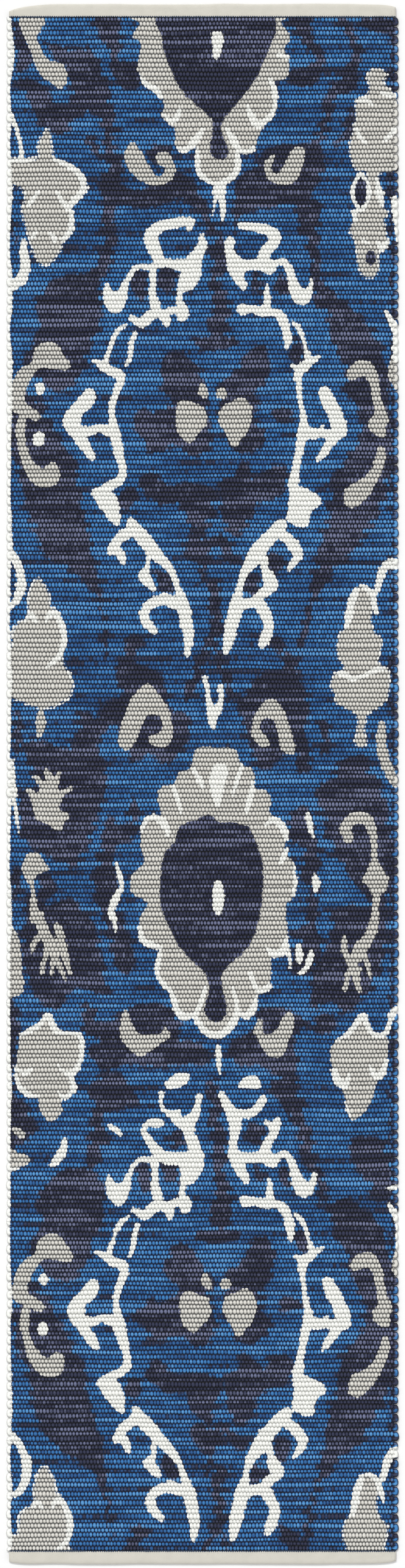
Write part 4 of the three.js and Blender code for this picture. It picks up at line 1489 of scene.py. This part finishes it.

# %% [markdown]
# The rag's colours follow how a printed, beaten rag looks close up, with light and shade painted in.
# Each bead's crown is painted lighter, a painted highlight where the ink was pressed on. The dips are
# painted dark, partly painted shade and partly the dye pooled there and the dark warp yarn. `relief`
# is near 0 in the dips and past 1 on a bead's crown. Each ink is given as a dip colour, a flank colour
# and a crown colour, and the distances choose between the inks. Where the rag took the dye darkest
# it is navy even on the blue ground.

# %% Rag weft
INK_SOFT = 0.4  # mm over which a printed edge fades
STAIN_SOFT = 2.4  # mm over which a dyed shadow fades
BEAD_STAIN, TONE_STAIN = 8, 6  # mm that a shadow's edge moves with the bead's and the rag's tone
BEAD_RAGGED, DIP_RAGGED = 2.4, 1.4  # mm that a print's edge moves with the bead and the relief


# An ink as three tones: painted shade in the dips, the flank colour, and a painted highlight on the crowns.
def shaded_three_tone(shader, relief, dip, flank, crown):
    low = shader.mix(relief.rise(0.2, 0.5), paint(*dip), paint(*flank))
    return shader.mix(relief.rise(0.45, 0.9), low, paint(*crown))


def printed(shader, relief, tone, spot, rough_edge):
    """The printed colour: navy shadow or blue ground, then grey, eye and white on top, each with its
    painted shade and highlight.
    """
    lighter = tone * 0.5 + spot * 0.5
    blue = shaded_three_tone(shader, relief, (17, 29, 54), (38, 86, 142), (60, 126, 188))
    deep = shaded_three_tone(shader, relief, (15, 25, 48), (28, 61, 104), (44, 90, 146))
    pale = shaded_three_tone(shader, relief, (24, 45, 82), (56, 114, 172), (90, 154, 210))
    ground = shader.mix(lighter.rise(0.12, -0.3), blue, deep)
    ground = shader.mix(lighter.rise(0.05, 0.4), ground, pale)
    night = shaded_three_tone(shader, relief, (15, 17, 28), (32, 35, 54), (52, 56, 80))
    dusk = shaded_three_tone(shader, relief, (20, 22, 36), (62, 67, 94), (112, 118, 148))
    navy = shader.mix(lighter.rise(-0.15, 0.28), night, dusk)
    grey = shaded_three_tone(shader, relief, (116, 117, 117), (192, 191, 185), (222, 220, 213))
    white = shaded_three_tone(shader, relief, (230, 231, 227), (243, 244, 239), (246, 247, 242))
    ragged = spot * BEAD_RAGGED + rough_edge + (0.6 - relief) * DIP_RAGGED
    stain = shader.number("navy") + spot * BEAD_STAIN + tone * TONE_STAIN
    colour = shader.mix(stain.rise(STAIN_SOFT, -STAIN_SOFT), ground, navy)
    colour = shader.mix((tone + spot).rise(-0.65, -1.0), colour, night)
    colour = shader.mix((shader.number("grey") + ragged).rise(INK_SOFT, -INK_SOFT), colour, grey)
    colour = shader.mix((shader.number("eye") + ragged).rise(INK_SOFT, -INK_SOFT), colour, navy)
    return shader.mix((shader.number("white") + ragged).rise(INK_SOFT, -INK_SOFT), colour, white)


rag = Shader("printed_rag", Roughness=0.85, Specular_IOR_Level=0.25, Sheen_Weight=0.08)
place = rag.place()
bead, pick, crest = rag.number("bead"), rag.number("pick"), rag.number("crest")
crown, loop = rag.number("crown"), rag.number("loop")
cell = (bead + 0.5).math("FLOOR")
row = (pick + 0.5).math("FLOOR")
spot = rag.chance(cell, row) * 2 - 1
fibres = rag.noise(rag.stretched(place, 220, 700, 400), 1.0, 3.0)
creases = rag.noise(rag.stretched(place, 90, 260, 100), 1.0, 2.0)
# relief sets the painted light: a painted highlight on bead crowns and the edge loops, painted shade in the
# dips.
relief = crown * (crest * 1.35 + 0.2) * (rag.number("thickness") * 1.4 - 0.4)
relief = relief + (fibres - 0.5) * 0.3 + loop * crown * 0.3
tone = rag.number("tone") + (creases - 0.5) * 0.8
colour = printed(rag, relief, tone, spot * 0.3, (fibres - 0.5) * 2.5)
fibre_light = rag.mix(fibres, (0.88, 0.88, 0.88, 1), (1.16, 1.16, 1.16, 1))
multiply = {"data_type": "RGBA", "blend_type": "MULTIPLY"}
shade = rag.node("ShaderNodeMix", multiply, {0: 1.0, 6: colour, 7: fibre_light}, output=2)
rag.finish(shade, fibres * 0.5 + creases, 0.001, *weave)
print("rag material on", len(weave), "pieces")

# %% [markdown]
# The warp is the same cotton everywhere, but the printer's roller presses ink onto it too. In
# the dips it holds more ink than the rag and looks darker, and in the bare parts it is a faint
# grey line round each bead.

# %% Warp cotton
yarn = Shader("warp_cotton", Roughness=0.9, Specular_IOR_Level=0.2)
place = yarn.place()
twist = yarn.noise(yarn.stretched(place, 900, 350, 900), 1.0, 2.0)
soft = yarn.mix(yarn.number("navy").rise(STAIN_SOFT, -STAIN_SOFT), paint(32, 56, 96), paint(28, 31, 50))
soft = yarn.mix(yarn.number("grey").rise(INK_SOFT, -INK_SOFT), soft, paint(158, 155, 150))
soft = yarn.mix(yarn.number("eye").rise(INK_SOFT, -INK_SOFT), soft, paint(26, 30, 46))
soft = yarn.mix(yarn.number("white").rise(INK_SOFT, -INK_SOFT), soft, paint(222, 222, 218))
yarn.finish(soft, twist, 0.0002, *warp)

fine = Shader("heading_cotton", Roughness=0.9, Specular_IOR_Level=0.2)
place = fine.place()
twist = fine.noise(fine.stretched(place, 400, 1400, 400), 1.0, 3.0)
fine.finish(fine.mix(twist, paint(196, 192, 180), paint(226, 223, 214)), twist, 0.0002, *headings)
print("warp and heading cotton done")

# %% [markdown]
# Herringbone twill climbs one way for a few yarns and then back. Each rib is a line of slanted
# yarns: a wave across the tape whose phase is moved by a triangle wave along it. Along its lip
# the tape is coloured dark blue-grey in little teeth.

# %% Herringbone tape
RIB = 1.5  # mm from rib to rib
CHEVRON = 9.0  # mm from turn to turn
TAPE_YARN = 1.1  # mm from yarn to yarn across
TOOTH = 1.7  # mm, half of one tooth of the dark band at the lip

twill = Shader("herringbone_tape", Roughness=0.88, Specular_IOR_Level=0.25, Sheen_Weight=0.05)
place = twill.place()
axes = twill.node("ShaderNodeSeparateXYZ", None, {0: place})
x = Value(twill, axes.socket.node.outputs["X"]) * (1 / MM)
y = Value(twill, axes.socket.node.outputs["Y"]) * (1 / MM)
zigzag = x.math("PINGPONG", CHEVRON / 2)
ribs = ((y + zigzag) * (2 * math.pi / RIB)).math("SINE")
yarns_across = (x * (2 * math.pi / TAPE_YARN)).math("SINE")
cloudy = twill.noise(place, 60.0, 3.0)
grain = twill.noise(twill.stretched(place, 700, 700, 700), 1.0, 2.0)
weave_height = ribs * 0.3 + yarns_across * 0.12 + grain * 0.4 + 0.4
# the cream is darker where the weave is low: painted shade in the hollows between ribs, a painted highlight
# on the raised yarns
cream = twill.mix(weave_height.rise(0.25, 0.85), paint(206, 202, 190), paint(232, 229, 219))
cream = twill.mix(cloudy.rise(0.35, 0.7), cream, paint(216, 213, 202))
# the lip is coloured dark blue-grey in teeth, darker towards the mouth
teeth = (x + grain * 3).math("PINGPONG", TOOTH) * 0.9 - 0.4
stain = (twill.number("from_mouth") - teeth + cloudy * -1.2).rise(0.9, -0.3)
twill.finish(twill.mix(stain, cream, paint(52, 66, 88)), weave_height, 0.0004, *tapes)

thread = Shader("sewing_cotton", Roughness=0.7, Specular_IOR_Level=0.35)
place = thread.place()
ply = thread.noise(thread.stretched(place, 1500, 900, 900), 1.0, 2.0)
thread.finish(thread.mix(ply, paint(186, 182, 168), paint(218, 215, 204)), ply, 0.0001, *threads)
print("tape and thread done")

# %% Floor
ground = Shader("studio_floor", Roughness=0.9, Specular_IOR_Level=0.0)
place = ground.place()
haze = ground.noise(place, 0.7, 1.0)
ground.finish(ground.mix(haze, (0.93, 0.93, 0.93, 1), (0.96, 0.96, 0.96, 1)), haze, 0.00001, floor)
